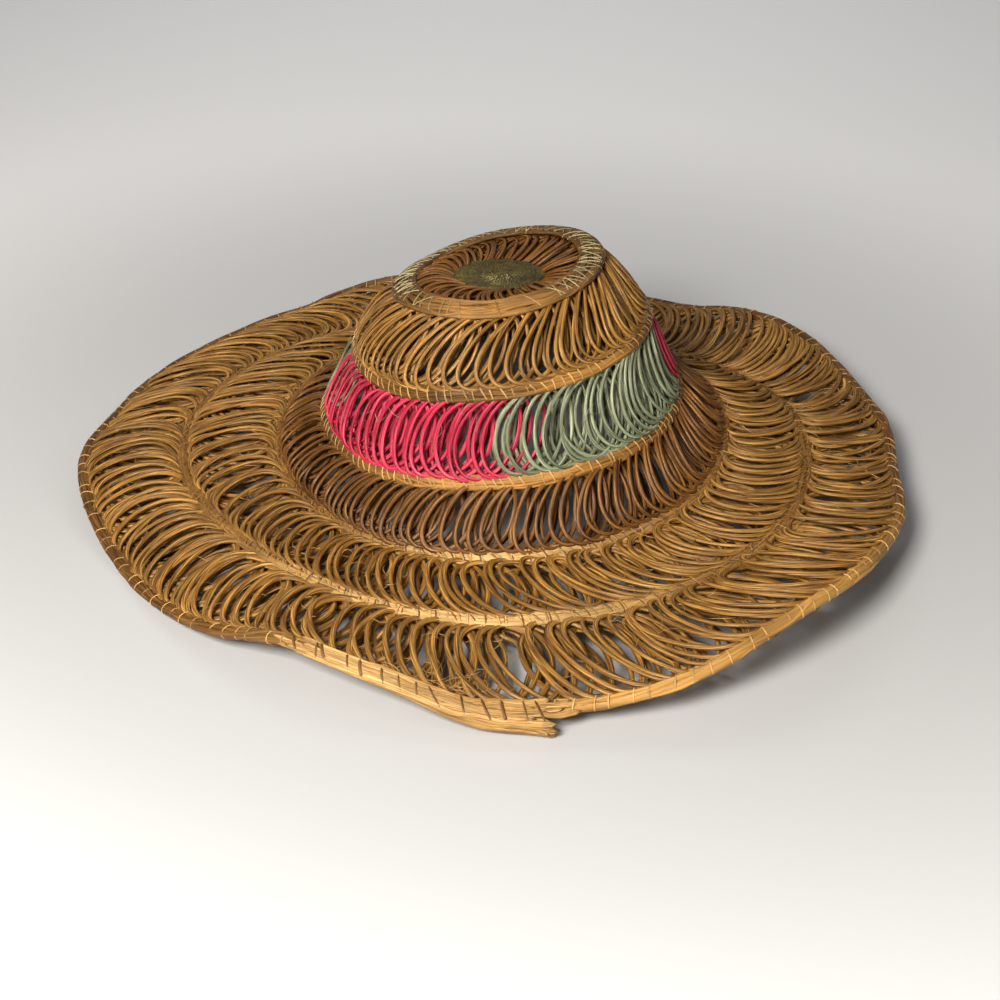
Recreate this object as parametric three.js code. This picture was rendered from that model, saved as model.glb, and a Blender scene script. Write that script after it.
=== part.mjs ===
import * as THREE from 'three';

// A wide raffia hat: sewn straw rows that carry open bands of looped straw.
// Millimetres, +Z up, and the hat's front is its -Y side. Azimuths are in degrees from +X towards +Y.

// Driving sizes
const WALL = 2.4;
const SEAM_GAP = 0.8;
const SEGMENT_GAP = 0.4;
const BUTTON_RADIUS = 23.5;
const BUTTON_THICKNESS = 5;
const BUTTON_SIDES = 28;
const LOOP_BOW = 9;
const RIM_END_THICKNESS = 3.2;

// How far each row's centre line stands from the hat's axis, at eight sides of the hat.
const SIDES = ['right', 'backRight', 'back', 'backLeft', 'left', 'frontLeft', 'front', 'frontRight'];
const REACH = table(['row', ...SIDES], [
  ['button_edge', 24, 24, 24, 24, 24, 24, 24, 24],
  ['top_row', 51, 54, 52, 51, 52, 54, 53, 50],
  ['second_row', 79, 77, 75, 78, 76, 78, 81, 78],
  ['third_row', 97, 97, 94, 94, 95, 94, 98, 99],
  ['base_row', 123, 122, 125, 126, 122, 114, 119, 127],
  ['middle_row', 166, 163, 167, 173, 175, 161, 168, 174],
]);

// How high each row's centre line lies at the same eight sides.
const HEIGHT = table(['row', ...SIDES], [
  ['button_edge', 119, 117, 116, 117, 119, 121, 122, 121],
  ['top_row', 130, 127, 120, 113, 114, 120, 124, 128],
  ['second_row', 99, 94, 84, 82, 81, 84, 94, 99],
  ['third_row', 58, 56, 44, 40, 43, 43, 53, 58],
  ['base_row', 37, 31, 30, 25, 20, 16, 22, 31],
  ['middle_row', 28, 9, 7, 14, 18, 19, 21, 28],
]);

// The rim's waves, a line for each crest, dip or flank.
const RIM_WAVES = table(['at', 'reach', 'height'], [
  [3, 216, 22],
  [16, 213, 24],
  [30, 216, 26],
  [43, 218, 22],
  [59, 219, 8],
  [90, 218, 18],
  [110, 222, 16],
  [126, 223, 8],
  [155, 230, 5],
  [169, 227, 9],
  [186, 228, 15],
  [208, 216, 4],
  [228, 212, 10],
  [242, 208, 22],
  [254, 211, 19],
  [266, 217, 11],
  [277, 220, 11],
  [291, 228, 22],
  [306, 229, 38],
  [322, 224, 32],
  [338, 221, 25],
  [349, 214, 24],
]);

// Each sewn row's flat bundle: its width along the wall, its thickness, and the facets round the hat.
const ROWS = table(['name', 'width', 'thickness', 'sections', 'sides'], [
  ['top_row', 9, 4.6, 48, 6],
  ['second_row', 7, 4.6, 48, 6],
  ['third_row', 7, 4.6, 48, 6],
  ['base_row', 7, 4.6, 60, 6],
  ['middle_row', 7, 4.6, 64, 6],
  ['rim', 7.6, 6, 96, 8],
]);

// Each band of loops: the rows it joins, its gaps, and how far its middle stands out of a straight wall.
const BANDS = table(['name', 'upper', 'lower', 'from', 'to', 'gaps', 'puff', 'colour'], [
  ['crown_top_loops', 'button_edge', 'top_row', 0, 360, 12, 1, 'straw'],
  ['upper_loops', 'top_row', 'second_row', 0, 360, 16, 2.5, 'straw'],
  ['pink_loops_front', 'second_row', 'third_row', 187, 277, 4, 2, 'pink'],
  ['green_loops_right', 'second_row', 'third_row', 277, 368, 4, 2, 'green'],
  ['pink_loops_back', 'second_row', 'third_row', 8, 98, 4, 2, 'pink'],
  ['green_loops_left', 'second_row', 'third_row', 98, 187, 4, 2, 'green'],
  ['lower_loops', 'third_row', 'base_row', 0, 360, 20, -1.5, 'darkStraw'],
  ['inner_brim_loops', 'base_row', 'middle_row', 0, 360, 24, -1, 'straw'],
  ['outer_brim_loops', 'middle_row', 'rim', 0, 360, 32, 0.5, 'straw'],
]);

// The levels of a band's wall from its upper edge to its lower one, and how wide a gap is there.
const LEVELS = table(['share', 'opening'], [
  [0, 0.4],
  [0.16, 0.4],
  [0.5, 1],
  [0.84, 0.4],
  [1, 0.4],
]);

// The gaps run over the middle two of the wall's four rows of facets, and take this share of its length.
const FIRST_OPEN_LEVEL = 1;
const LAST_OPEN_LEVEL = 2;
const GAP_SHARE = 0.44;

// The loose end of the rim's straw, laid along its outer side at the front, 'out' and 'down' from the rim.
const RIM_END = table(['at', 'out', 'down', 'tall'], [
  [243, 5.6, 0.3, 3],
  [248, 5.7, 0.5, 5],
  [254, 5.7, 0.8, 6.5],
  [261, 5.7, 1.6, 8],
  [268, 5.8, 2.4, 9],
  [273, 6.4, 3.2, 10],
  [276.5, 8, 4.2, 8],
]);
const RIM_END_SECTIONS = 18;
const RIM_END_SIDES = 6;

// How far the loose end's height leans out of upright, for each millimetre down.
const RIM_END_LEAN = 0.2;

// The button's profile from below, over its edge and its dome, as shares of its radius and half thickness.
const BUTTON_PROFILE = table(['reach', 'height'], [
  [0, -1],
  [0.93, -1],
  [1, 0],
  [0.93, 0.7],
  [0.5, 1],
  [0, 0.8],
]);

const COLOURS = {
  straw: { color: 0xa9743a, roughness: 0.62, metalness: 0 },
  darkStraw: { color: 0x7c4f22, roughness: 0.65, metalness: 0 },
  sewnStraw: { color: 0xb98a4c, roughness: 0.7, metalness: 0 },
  paleStraw: { color: 0xd9b877, roughness: 0.6, metalness: 0 },
  pink: { color: 0xdd2c66, roughness: 0.6, metalness: 0 },
  green: { color: 0x7f9072, roughness: 0.65, metalness: 0 },
  sage: { color: 0x70705a, roughness: 0.85, metalness: 0 },
};

/** Turns lines of values into objects with the columns' names. */
function table(columns, lines) {
  return lines.map((line) => Object.fromEntries(line.map((value, i) => [columns[i], value])));
}

/** A smooth curve round the hat through values given at rising azimuths. */
function around(stations) {
  const count = stations.length;
  const station = (i) => {
    const turns = Math.floor(i / count);
    const { at, value } = stations[i - turns * count];
    return { at: at + 360 * turns, value };
  };
  const slope = (i) => {
    const before = station(i - 1);
    const after = station(i + 1);
    return (after.value - before.value) / (after.at - before.at);
  };
  return (azimuth) => {
    const at = THREE.MathUtils.euclideanModulo(azimuth - stations[0].at, 360) + stations[0].at;
    let i = 0;
    while (station(i + 1).at <= at) i += 1;
    const a = station(i);
    const b = station(i + 1);
    const span = b.at - a.at;
    const t = (at - a.at) / span;
    const blend = t * t * (3 - 2 * t);
    const leave = t * (1 - t) * (1 - t) * span * slope(i);
    const arrive = t * t * (t - 1) * span * slope(i + 1);
    return a.value + (b.value - a.value) * blend + leave + arrive;
  };
}

/** The curve of one row's reach or height, from its line of values at the eight sides. */
function eightSided(lines, row) {
  const line = lines.find((each) => each.row === row);
  return around(SIDES.map((side, i) => ({ at: (i * 360) / SIDES.length, value: line[side] })));
}

/** Every row's centre line as reach and height at an azimuth. */
const CENTRE_LINES = Object.fromEntries(
  REACH.map(({ row }) => [row, { reach: eightSided(REACH, row), height: eightSided(HEIGHT, row) }]),
);
CENTRE_LINES.rim = {
  reach: around(RIM_WAVES.map(({ at, reach }) => ({ at, value: reach }))),
  height: around(RIM_WAVES.map(({ at, height }) => ({ at, value: height }))),
};

/** A row's centre at an azimuth, in the upright half plane there: x is the reach, y the height. */
function centreAt(row, azimuth) {
  const { reach, height } = CENTRE_LINES[row];
  return new THREE.Vector2(reach(azimuth), height(azimuth));
}

/** A point of the upright half plane at an azimuth, placed in space. */
function inSpace(azimuth, flat) {
  const angle = THREE.MathUtils.degToRad(azimuth);
  return new THREE.Vector3(flat.x * Math.cos(angle), flat.x * Math.sin(angle), flat.y);
}

/** A geometry from shared corners and faces that turn anticlockwise seen from outside. */
function geometryOf(points, faces) {
  const geometry = new THREE.BufferGeometry().setFromPoints(points);
  const fan = (face) => face.slice(2).flatMap((corner, i) => [face[0], face[i + 1], corner]);
  geometry.setIndex(faces.flatMap(fan));
  geometry.computeVertexNormals();
  return geometry;
}

/** A tube skinned over sections of equal size, joined end to start or closed by two caps. */
function tube(sections, joined) {
  const sides = sections[0].length;
  const corner = (i, k) => (i % sections.length) * sides + (k % sides);
  const faces = [];
  const spans = joined ? sections.length : sections.length - 1;
  for (let i = 0; i < spans; i += 1) {
    for (let k = 0; k < sides; k += 1) {
      faces.push([corner(i, k), corner(i + 1, k), corner(i + 1, k + 1), corner(i, k + 1)]);
    }
  }
  if (!joined) {
    const rim = [...Array(sides).keys()];
    faces.push(rim.map((k) => corner(0, k)));
    faces.push(rim.reverse().map((k) => corner(sections.length - 1, k)));
  }
  return geometryOf(sections.flat(), faces);
}

/** The corners of an oval section about a centre, with its long way along a direction of the half plane. */
function ovalSection(azimuth, centre, along, width, thickness, sides) {
  const across = new THREE.Vector2(-along.y, along.x);
  return [...Array(sides).keys()].map((k) => {
    const turn = ((k + 0.5) * 2 * Math.PI) / sides;
    const flat = centre
      .clone()
      .addScaledVector(along, (Math.cos(turn) * width) / 2)
      .addScaledVector(across, (Math.sin(turn) * thickness) / 2);
    return inSpace(azimuth, flat);
  });
}

/** The way down the wall at a row: the mean way of the bands above and below it. */
function wayDown(row, azimuth) {
  const centre = centreAt(row, azimuth);
  const above = BANDS.find((band) => band.lower === row);
  const below = BANDS.find((band) => band.upper === row);
  const way = centre.clone().sub(centreAt(above.upper, azimuth)).normalize();
  if (below) way.add(centreAt(below.lower, azimuth).sub(centre).normalize());
  return way.normalize();
}

/** One sewn row: a flat bundle of straw bent into a closed ring. */
function rowGeometry({ name, width, thickness, sections, sides }) {
  const rings = [...Array(sections).keys()].map((i) => {
    const azimuth = (i * 360) / sections;
    return ovalSection(azimuth, centreAt(name, azimuth), wayDown(name, azimuth), width, thickness, sides);
  });
  return tube(rings, true);
}

/** How far a band's edge stays from the centre of the row that carries it. */
function seatAt(row) {
  const carrier = ROWS.find((each) => each.name === row);
  return (carrier ? carrier.width / 2 : 0) + SEAM_GAP;
}

/** A point of a band's wall: share runs from its upper edge to its lower one, offset stands out of it. */
function wallPoint({ upper, lower, puff }, azimuth, share, offset) {
  const top = centreAt(upper, azimuth);
  const bottom = centreAt(lower, azimuth);
  const way = bottom.clone().sub(top).normalize();
  const out = new THREE.Vector2(-way.y, way.x);
  const flat = top
    .addScaledVector(way, seatAt(upper))
    .lerp(bottom.addScaledVector(way, -seatAt(lower)), share)
    .addScaledVector(out, puff * Math.sin(Math.PI * share) + offset);
  return inSpace(azimuth, flat);
}

/** One band of loops: a thin wall with bowed gaps, closed round the hat or over a stretch of it. */
function bandGeometry(band) {
  const whole = band.to - band.from === 360;
  const slit = whole ? 0 : SEGMENT_GAP / 2 / centreAt(band.upper, band.from).x;
  const from = band.from + THREE.MathUtils.radToDeg(slit);
  const pitch = (band.to - THREE.MathUtils.radToDeg(slit) - from) / band.gaps;
  const edges = [...Array(band.gaps).keys()].flatMap((i) => {
    const middle = from + (i + 0.5) * pitch;
    return [{ middle, side: -1 }, { middle, side: 1 }];
  });
  if (!whole) {
    edges.unshift({ middle: from, side: 0 });
    edges.push({ middle: from + pitch * band.gaps, side: 0 });
  }
  const firstGap = whole ? 0 : 1;
  const columns = whole ? edges.length : edges.length - 1;
  const rows = LEVELS.length - 1;

  const points = edges.flatMap(({ middle, side }) =>
    LEVELS.flatMap(({ share, opening }) => {
      const reach = centreAt(band.upper, middle).lerp(centreAt(band.lower, middle), share).x;
      const bow = THREE.MathUtils.radToDeg((LOOP_BOW * Math.sin(Math.PI * share)) / reach);
      const azimuth = middle + (side * pitch * GAP_SHARE * opening) / 2 - bow;
      return [wallPoint(band, azimuth, share, WALL / 2), wallPoint(band, azimuth, share, -WALL / 2)];
    }),
  );
  const outer = (edge, level) => 2 * ((edge % edges.length) * LEVELS.length + level);
  const inner = (edge, level) => outer(edge, level) + 1;
  const solid = (column, row) => {
    if (row < 0 || row >= rows) return false;
    if (!whole && (column < 0 || column >= columns)) return false;
    const gapColumn = THREE.MathUtils.euclideanModulo(column - firstGap, 2) === 0;
    return !(gapColumn && row >= FIRST_OPEN_LEVEL && row <= LAST_OPEN_LEVEL);
  };

  const faces = [];
  for (let column = 0; column < columns; column += 1) {
    for (let row = 0; row < rows; row += 1) {
      if (!solid(column, row)) continue;
      const ring = [[column, row + 1], [column + 1, row + 1], [column + 1, row], [column, row]];
      faces.push(ring.map((corner) => outer(...corner)));
      faces.push(ring.map((corner) => inner(...corner)).reverse());
      const beyond = [[column, row + 1], [column + 1, row], [column, row - 1], [column - 1, row]];
      beyond.forEach((cell, i) => {
        if (solid(...cell)) return;
        const p = ring[i];
        const q = ring[(i + 1) % ring.length];
        faces.push([outer(...q), outer(...p), inner(...p), inner(...q)]);
      });
    }
  }
  return geometryOf(points, faces);
}

/** The round button at the middle of the crown, flat beneath and a little domed on top. */
function buttonGeometry() {
  const half = BUTTON_THICKNESS / 2;
  const corner = ({ reach, height }) => new THREE.Vector2(reach * BUTTON_RADIUS, height * half);
  return new THREE.LatheGeometry(BUTTON_PROFILE.map(corner), BUTTON_SIDES).rotateX(Math.PI / 2);
}

/** The rim straw's loose end, tapering where it starts and where it is cut off. */
function rimEndGeometry() {
  const curve = (column) => around(RIM_END.map((line) => ({ at: line.at, value: line[column] })));
  const [out, down, tall] = ['out', 'down', 'tall'].map(curve);
  const first = RIM_END[0].at;
  const last = RIM_END[RIM_END.length - 1].at;
  const hanging = new THREE.Vector2(RIM_END_LEAN, -1).normalize();
  const sections = [...Array(RIM_END_SECTIONS).keys()].map((i) => {
    const azimuth = THREE.MathUtils.lerp(first, last, i / (RIM_END_SECTIONS - 1));
    const centre = centreAt('rim', azimuth).add(new THREE.Vector2(out(azimuth), -down(azimuth)));
    return ovalSection(azimuth, centre, hanging, tall(azimuth), RIM_END_THICKNESS, RIM_END_SIDES);
  });
  return tube(sections, false);
}

/** A named mesh in one of the hat's colours. */
function piece(name, geometry, colour) {
  const mesh = new THREE.Mesh(geometry, new THREE.MeshStandardMaterial(COLOURS[colour]));
  mesh.name = name;
  return mesh;
}

/** The button, laid on the plane through its edge line. */
function button() {
  const mesh = piece('crown_button', buttonGeometry(), 'sage');
  const [right, back, left, front] = [0, 90, 180, 270].map((azimuth) =>
    inSpace(azimuth, centreAt('button_edge', azimuth)),
  );
  const normal = right.clone().sub(left).cross(back.clone().sub(front)).normalize();
  mesh.quaternion.setFromUnitVectors(new THREE.Vector3(0, 0, 1), normal);
  mesh.position.copy(right).add(left).add(back).add(front).multiplyScalar(0.25);
  return mesh;
}

const hat = new THREE.Group();
hat.name = 'raffia_hat';
hat.add(button());
for (const row of ROWS) {
  hat.add(piece(row.name, rowGeometry(row), row.name === 'rim' ? 'paleStraw' : 'sewnStraw'));
}
for (const band of BANDS) {
  hat.add(piece(band.name, bandGeometry(band), band.colour));
}
hat.add(piece('rim_end', rimEndGeometry(), 'paleStraw'));

// The hat's frame: the middle of its outline, on the surface that it rests on.
const box = new THREE.Box3().setFromObject(hat, true);
const middle = box.getCenter(new THREE.Vector3());
hat.position.set(-middle.x, -middle.y, -box.min.z);

export default hat;
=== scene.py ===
"""The looks of a looped raffia sun hat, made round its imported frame.

Lengths are metres, +Z is up, and the hat's front is its -Y side. Azimuths are radians from +X towards +Y.
"""

import functools
import logging
import math
from dataclasses import dataclass, field
from enum import Enum

import bpy
import numpy as np
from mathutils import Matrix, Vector


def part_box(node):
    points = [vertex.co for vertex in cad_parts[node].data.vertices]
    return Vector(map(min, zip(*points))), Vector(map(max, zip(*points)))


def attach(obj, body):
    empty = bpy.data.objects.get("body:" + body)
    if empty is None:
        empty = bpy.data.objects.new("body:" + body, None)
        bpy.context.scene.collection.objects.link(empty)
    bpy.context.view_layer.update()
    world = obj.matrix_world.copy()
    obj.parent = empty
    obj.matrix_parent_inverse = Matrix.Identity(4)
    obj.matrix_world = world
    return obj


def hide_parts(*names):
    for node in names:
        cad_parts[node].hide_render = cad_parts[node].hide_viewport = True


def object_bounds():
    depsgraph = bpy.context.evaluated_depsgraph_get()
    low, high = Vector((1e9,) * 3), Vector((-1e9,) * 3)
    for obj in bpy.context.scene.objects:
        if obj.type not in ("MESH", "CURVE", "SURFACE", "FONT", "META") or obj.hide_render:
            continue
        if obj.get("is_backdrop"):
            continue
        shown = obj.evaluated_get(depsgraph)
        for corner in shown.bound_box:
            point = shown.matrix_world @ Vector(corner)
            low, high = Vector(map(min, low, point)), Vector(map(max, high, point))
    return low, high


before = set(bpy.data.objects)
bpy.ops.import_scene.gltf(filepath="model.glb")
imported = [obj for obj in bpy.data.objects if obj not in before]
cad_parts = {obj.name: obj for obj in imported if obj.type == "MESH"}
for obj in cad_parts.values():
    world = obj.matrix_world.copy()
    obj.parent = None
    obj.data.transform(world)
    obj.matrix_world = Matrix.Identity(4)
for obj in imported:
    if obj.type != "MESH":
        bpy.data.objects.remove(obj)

LOG = logging.getLogger("raffia_hat")

MM = 0.001
FULL_TURN = 2 * math.pi
BODY = "root"
CORNER_DIGITS = 7
TINY = 1e-9

Colour = tuple[float, float, float]
Point = tuple[float, float, float]

BUTTON_LOW, BUTTON_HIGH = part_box("crown_button")
AXIS = np.array([(BUTTON_LOW.x + BUTTON_HIGH.x) / 2, (BUTTON_LOW.y + BUTTON_HIGH.y) / 2, 0.0])


def linear(red: int, green: int, blue: int) -> Colour:
    """Turns a screen colour into the linear one that shaders use.

    Args:
        red: Red from 0 to 255.
        green: Green from 0 to 255.
        blue: Blue from 0 to 255.

    Returns:
        The linear colour, each part from 0 to 1.
    """
    shares = (np.array([red, green, blue]) / 255.0).tolist()
    return tuple(s / 12.92 if s <= 0.04045 else ((s + 0.055) / 1.055) ** 2.4 for s in shares)


def placed(name: str, data: bpy.types.ID) -> bpy.types.Object:
    """Makes an object and puts it in the scene.

    Args:
        name: The object's name.
        data: Its mesh, light or camera.

    Returns:
        The object.
    """
    made = bpy.data.objects.new(name, data)
    bpy.context.scene.collection.objects.link(made)
    return made


class Sheet:
    """A node tree under construction, for shading or for geometry."""

    def __init__(self, tree: bpy.types.NodeTree) -> None:
        """Starts on an empty tree.

        Args:
            tree: The tree that the nodes go into.
        """
        self.tree = tree

    @staticmethod
    def socket(sockets: object, key: str | int) -> bpy.types.NodeSocket:
        """Finds a socket by its place, or by its name among those in use.

        Args:
            sockets: A node's inputs or outputs.
            key: The place or the name.

        Returns:
            The socket.
        """
        if isinstance(key, int):
            return sockets[key]
        return next(s for s in sockets if s.enabled and s.name == key)

    def add(self, kind: str, wiring: dict | None = None, **settings: object) -> bpy.types.Node:
        """Adds a node, sets it up and wires its inputs.

        Args:
            kind: The node's type name.
            wiring: For each input, the socket that feeds it or its plain value.
            **settings: The node's own properties.

        Returns:
            The node.
        """
        node = self.tree.nodes.new(kind)
        for key, value in settings.items():
            setattr(node, key, value)
        for key, value in (wiring or {}).items():
            target = self.socket(node.inputs, key)
            if isinstance(value, bpy.types.NodeSocket):
                self.tree.links.new(value, target)
            else:
                target.default_value = value
        return node

    def out(self, node: bpy.types.Node, key: str | int = 0) -> bpy.types.NodeSocket:
        """One output of a node, the first in place unless it is named."""
        return self.socket(node.outputs, key)

    def sum_up(self, operation: str, *values: object) -> bpy.types.NodeSocket:
        """Works out a sum on one or two numbers.

        Args:
            operation: The name of the sum, such as MULTIPLY.
            *values: Sockets or plain numbers.

        Returns:
            The socket that holds the result.
        """
        return self.out(self.add("ShaderNodeMath", dict(enumerate(values)), operation=operation))


@dataclass(frozen=True)
class StrawFinish:
    """Raffia straw whose fibres run along each strand.

    Attributes:
        name: The material's name.
        shade: Colour of the dark fibres.
        body: The main colour.
        light: Colour of the bleached fibres.
        dyed: Colour that takes over where a strand's dye is 1, on some finishes: dyeing, paler straw,
            painted light and a painted highlight.
        roughness: Mean roughness.
        relief: Depth of the fibres' bump.
        spread: How much strands differ in brightness.
        patches: How much the straw is mottled over larger areas.
        ply: Turns of the twist for each metre of strand.
        patch_scale: Patches for each metre.
    """

    name: str
    shade: Colour
    body: Colour
    light: Colour
    dyed: Colour | None = None
    roughness: float = 0.4
    relief: float = 0.7
    spread: float = 0.5
    patches: float = 0.35
    ply: float = 9.0
    patch_scale: float = 28.0

    # The fibres' pattern, and where in it each of their colours lies.
    FIBRES_ROUND = 3.0
    FIBRES_ALONG = 42.0
    FIBRE_DETAIL = 5.0
    FIBRE_COARSENESS = 0.62
    SHADE_STOP, BODY_STOP, LIGHT_STOP = 0.36, 0.5, 0.66

    # The larger patches, and how far the second colour, of dyeing and painted light, reaches into the
    # lighter ones.
    PATCH_DETAIL = 3.0
    DYE_AND_LIGHT_DEPTH = 0.45

    # The surface: its spread of roughness, its relief and how it mirrors.
    ROUGHER, SMOOTHER = 0.12, 0.1
    RELIEF_DEPTH = 0.4 * MM
    REFLECTION = 0.75
    REFLECTION_WARMTH = 0.5

    def fibre_place(self, sheet: Sheet) -> bpy.types.NodeSocket:
        """Wraps the strand's own map round it, twisted, so that its fibres have no seam.

        Args:
            sheet: The material's nodes.

        Returns:
            The place to read fibre patterns at.
        """
        strand = sheet.add("ShaderNodeUVMap", uv_map="strand")
        parts = sheet.add("ShaderNodeSeparateXYZ", {"Vector": sheet.out(strand)})
        along = sheet.out(parts, "X")
        twist = sheet.sum_up("MULTIPLY", along, self.ply)
        turn = sheet.sum_up("MULTIPLY", sheet.sum_up("ADD", sheet.out(parts, "Y"), twist), FULL_TURN)
        across = sheet.sum_up("MULTIPLY", sheet.sum_up("COSINE", turn), self.FIBRES_ROUND)
        beside = sheet.sum_up("MULTIPLY", sheet.sum_up("SINE", turn), self.FIBRES_ROUND)
        length = sheet.sum_up("MULTIPLY", along, self.FIBRES_ALONG)
        return sheet.out(sheet.add("ShaderNodeCombineXYZ", {"X": across, "Y": beside, "Z": length}))

    def fibre_colour(self, sheet: Sheet, fibre: bpy.types.NodeSocket) -> bpy.types.NodeSocket:
        """Runs from dark to bleached across the fibres.

        Args:
            sheet: The material's nodes.
            fibre: The fibres' pattern.

        Returns:
            The colour of the undyed straw.
        """
        ramp = sheet.add("ShaderNodeValToRGB", {"Fac": fibre})
        stops = ramp.color_ramp.elements
        stops[0].position, stops[0].color = self.SHADE_STOP, (*self.shade, 1)
        stops[1].position, stops[1].color = self.LIGHT_STOP, (*self.light, 1)
        middle = stops.new(self.BODY_STOP)
        middle.color = (*self.body, 1)
        return sheet.out(ramp, "Color")

    def toned(self, sheet: Sheet, colour: bpy.types.NodeSocket) -> bpy.types.NodeSocket:
        """Lays a second colour on in places, for dyeing and painted light, and makes strands and patches
        differ in brightness.

        Args:
            sheet: The material's nodes.
            colour: The colour of the undyed straw.

        Returns:
            The straw's final colour.
        """
        where = sheet.out(sheet.add("ShaderNodeTexCoord"), "Object")
        patches = sheet.add("ShaderNodeTexNoise", {
            "Vector": where, "Scale": self.patch_scale, "Detail": self.PATCH_DETAIL,
        })
        patch = sheet.out(patches, "Fac")
        # The second colour stands for dyeing and paler straw, for painted light on the rows' fronts, and
        # for a painted highlight on the button's thread.
        if self.dyed:
            dye = sheet.out(sheet.add("ShaderNodeAttribute", attribute_name="dye"), "Fac")
            share = sheet.sum_up("MULTIPLY", dye, sheet.sum_up("ADD", patch, self.DYE_AND_LIGHT_DEPTH))
            mixed = sheet.add("ShaderNodeMix", {
                "Factor": share, "A": colour, "B": (*self.dyed, 1),
            }, data_type="RGBA", clamp_factor=True)
            colour = sheet.out(mixed, "Result")
        tint = sheet.out(sheet.add("ShaderNodeAttribute", attribute_name="tint"), "Fac")
        differ = sheet.sum_up("MULTIPLY", sheet.sum_up("SUBTRACT", tint, 0.5), self.spread)
        mottle = sheet.sum_up("MULTIPLY", sheet.sum_up("SUBTRACT", patch, 0.5), self.patches)
        brightness = sheet.sum_up("ADD", sheet.sum_up("ADD", differ, mottle), 1.0)
        return sheet.out(sheet.add("ShaderNodeHueSaturation", {"Color": colour, "Value": brightness}))

    def material(self) -> bpy.types.Material:
        """Builds the finish.

        Returns:
            The material.
        """
        made = bpy.data.materials.new(self.name)
        made.use_nodes = True
        sheet = Sheet(made.node_tree)
        shader = made.node_tree.nodes["Principled BSDF"]
        fibres = sheet.add("ShaderNodeTexNoise", {
            "Vector": self.fibre_place(sheet), "Scale": 1.0,
            "Detail": self.FIBRE_DETAIL, "Roughness": self.FIBRE_COARSENESS,
        })
        fibre = sheet.out(fibres, "Fac")
        colour = self.toned(sheet, self.fibre_colour(sheet, fibre))
        gloss = sheet.add("ShaderNodeMapRange", {
            "Value": fibre,
            "To Min": self.roughness + self.ROUGHER, "To Max": self.roughness - self.SMOOTHER,
        })
        bump = sheet.add("ShaderNodeBump", {
            "Height": fibre, "Strength": self.relief, "Distance": self.RELIEF_DEPTH,
        })
        feeds = {"Base Color": colour, "Roughness": sheet.out(gloss), "Normal": sheet.out(bump)}
        for key, feed in feeds.items():
            made.node_tree.links.new(feed, shader.inputs[key])

        # Straw mirrors a little of its own colour, so its highlights are warm.
        warmth = self.REFLECTION_WARMTH
        warm = [1 - warmth + warmth * part / max(self.light) for part in self.light]
        shader.inputs["Specular IOR Level"].default_value = self.REFLECTION
        shader.inputs["Specular Tint"].default_value = (*warm, 1)
        return made


class Finish(Enum):
    """The finishes of the hat's straw and thread."""

    NATURAL = StrawFinish(
        "raffia_natural", linear(50, 28, 7), linear(130, 86, 30), linear(218, 168, 88))
    # Natural straw darkened as painted shade, for the crown's top and the lower band.
    DARK = StrawFinish(
        "raffia_natural_painted_shade", linear(34, 18, 4), linear(94, 56, 16), linear(178, 122, 52))
    # The rows' paler second colours, laid on towards the front, are partly paler straw and partly painted
    # light.
    SEWN = StrawFinish(
        "raffia_sewn", linear(46, 26, 7), linear(96, 61, 21), linear(154, 108, 48),
        dyed=linear(184, 132, 64), relief=0.8)
    # The top row's light colour towards the front and its darker body elsewhere are painted light and
    # painted shade.
    TOP_SEWN = StrawFinish(
        "raffia_top_sewn", linear(44, 25, 7), linear(96, 62, 22), linear(160, 114, 54),
        dyed=linear(160, 114, 54), relief=1.0, patches=0.8, patch_scale=60.0)
    BRIM_SEWN = StrawFinish(
        "raffia_brim_sewn", linear(70, 42, 13), linear(124, 82, 30), linear(186, 136, 66),
        dyed=linear(218, 174, 108), relief=0.8)
    RIM = StrawFinish(
        "raffia_rim", linear(44, 25, 7), linear(92, 57, 18), linear(150, 103, 43),
        dyed=linear(194, 144, 72), relief=0.8)
    PALE = StrawFinish(
        "raffia_pale", linear(100, 62, 21), linear(178, 131, 66), linear(236, 198, 130),
        relief=0.9, patches=0.9, patch_scale=70.0)
    PINK = StrawFinish(
        "raffia_pink", linear(80, 3, 15), linear(190, 18, 52), linear(250, 108, 136))
    GREEN = StrawFinish(
        "raffia_green", linear(38, 46, 26), linear(112, 120, 88), linear(208, 210, 174))
    # The button's pale second colour serves only for a painted highlight on its thread.
    SAGE = StrawFinish(
        "raffia_sage", linear(18, 15, 5), linear(55, 46, 15), linear(102, 90, 42),
        dyed=linear(178, 164, 108), roughness=0.75, spread=1.0, patches=2.2, patch_scale=100.0)
    THREAD = StrawFinish(
        "raffia_thread", linear(118, 76, 30), linear(188, 140, 74), linear(236, 198, 132),
        dyed=linear(214, 172, 104), spread=0.7)
    SAGE_THREAD = StrawFinish(
        "raffia_sage_thread", linear(110, 96, 56), linear(170, 156, 112), linear(210, 200, 160),
        dyed=linear(176, 128, 62), spread=0.8)
    # Dark thread standing in for the stitches' shadows: painted shadow, on the brim rows and the rim's
    # loose end.
    PAINTED_SHADOW_THREAD = StrawFinish(
        "raffia_painted_shadow_thread", linear(54, 32, 11), linear(108, 72, 29), linear(158, 110, 52),
        dyed=linear(120, 80, 34))

    @functools.cache
    def material(self) -> bpy.types.Material:
        """The finish's material, built the first time that it is asked for."""
        return self.value.material()


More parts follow.
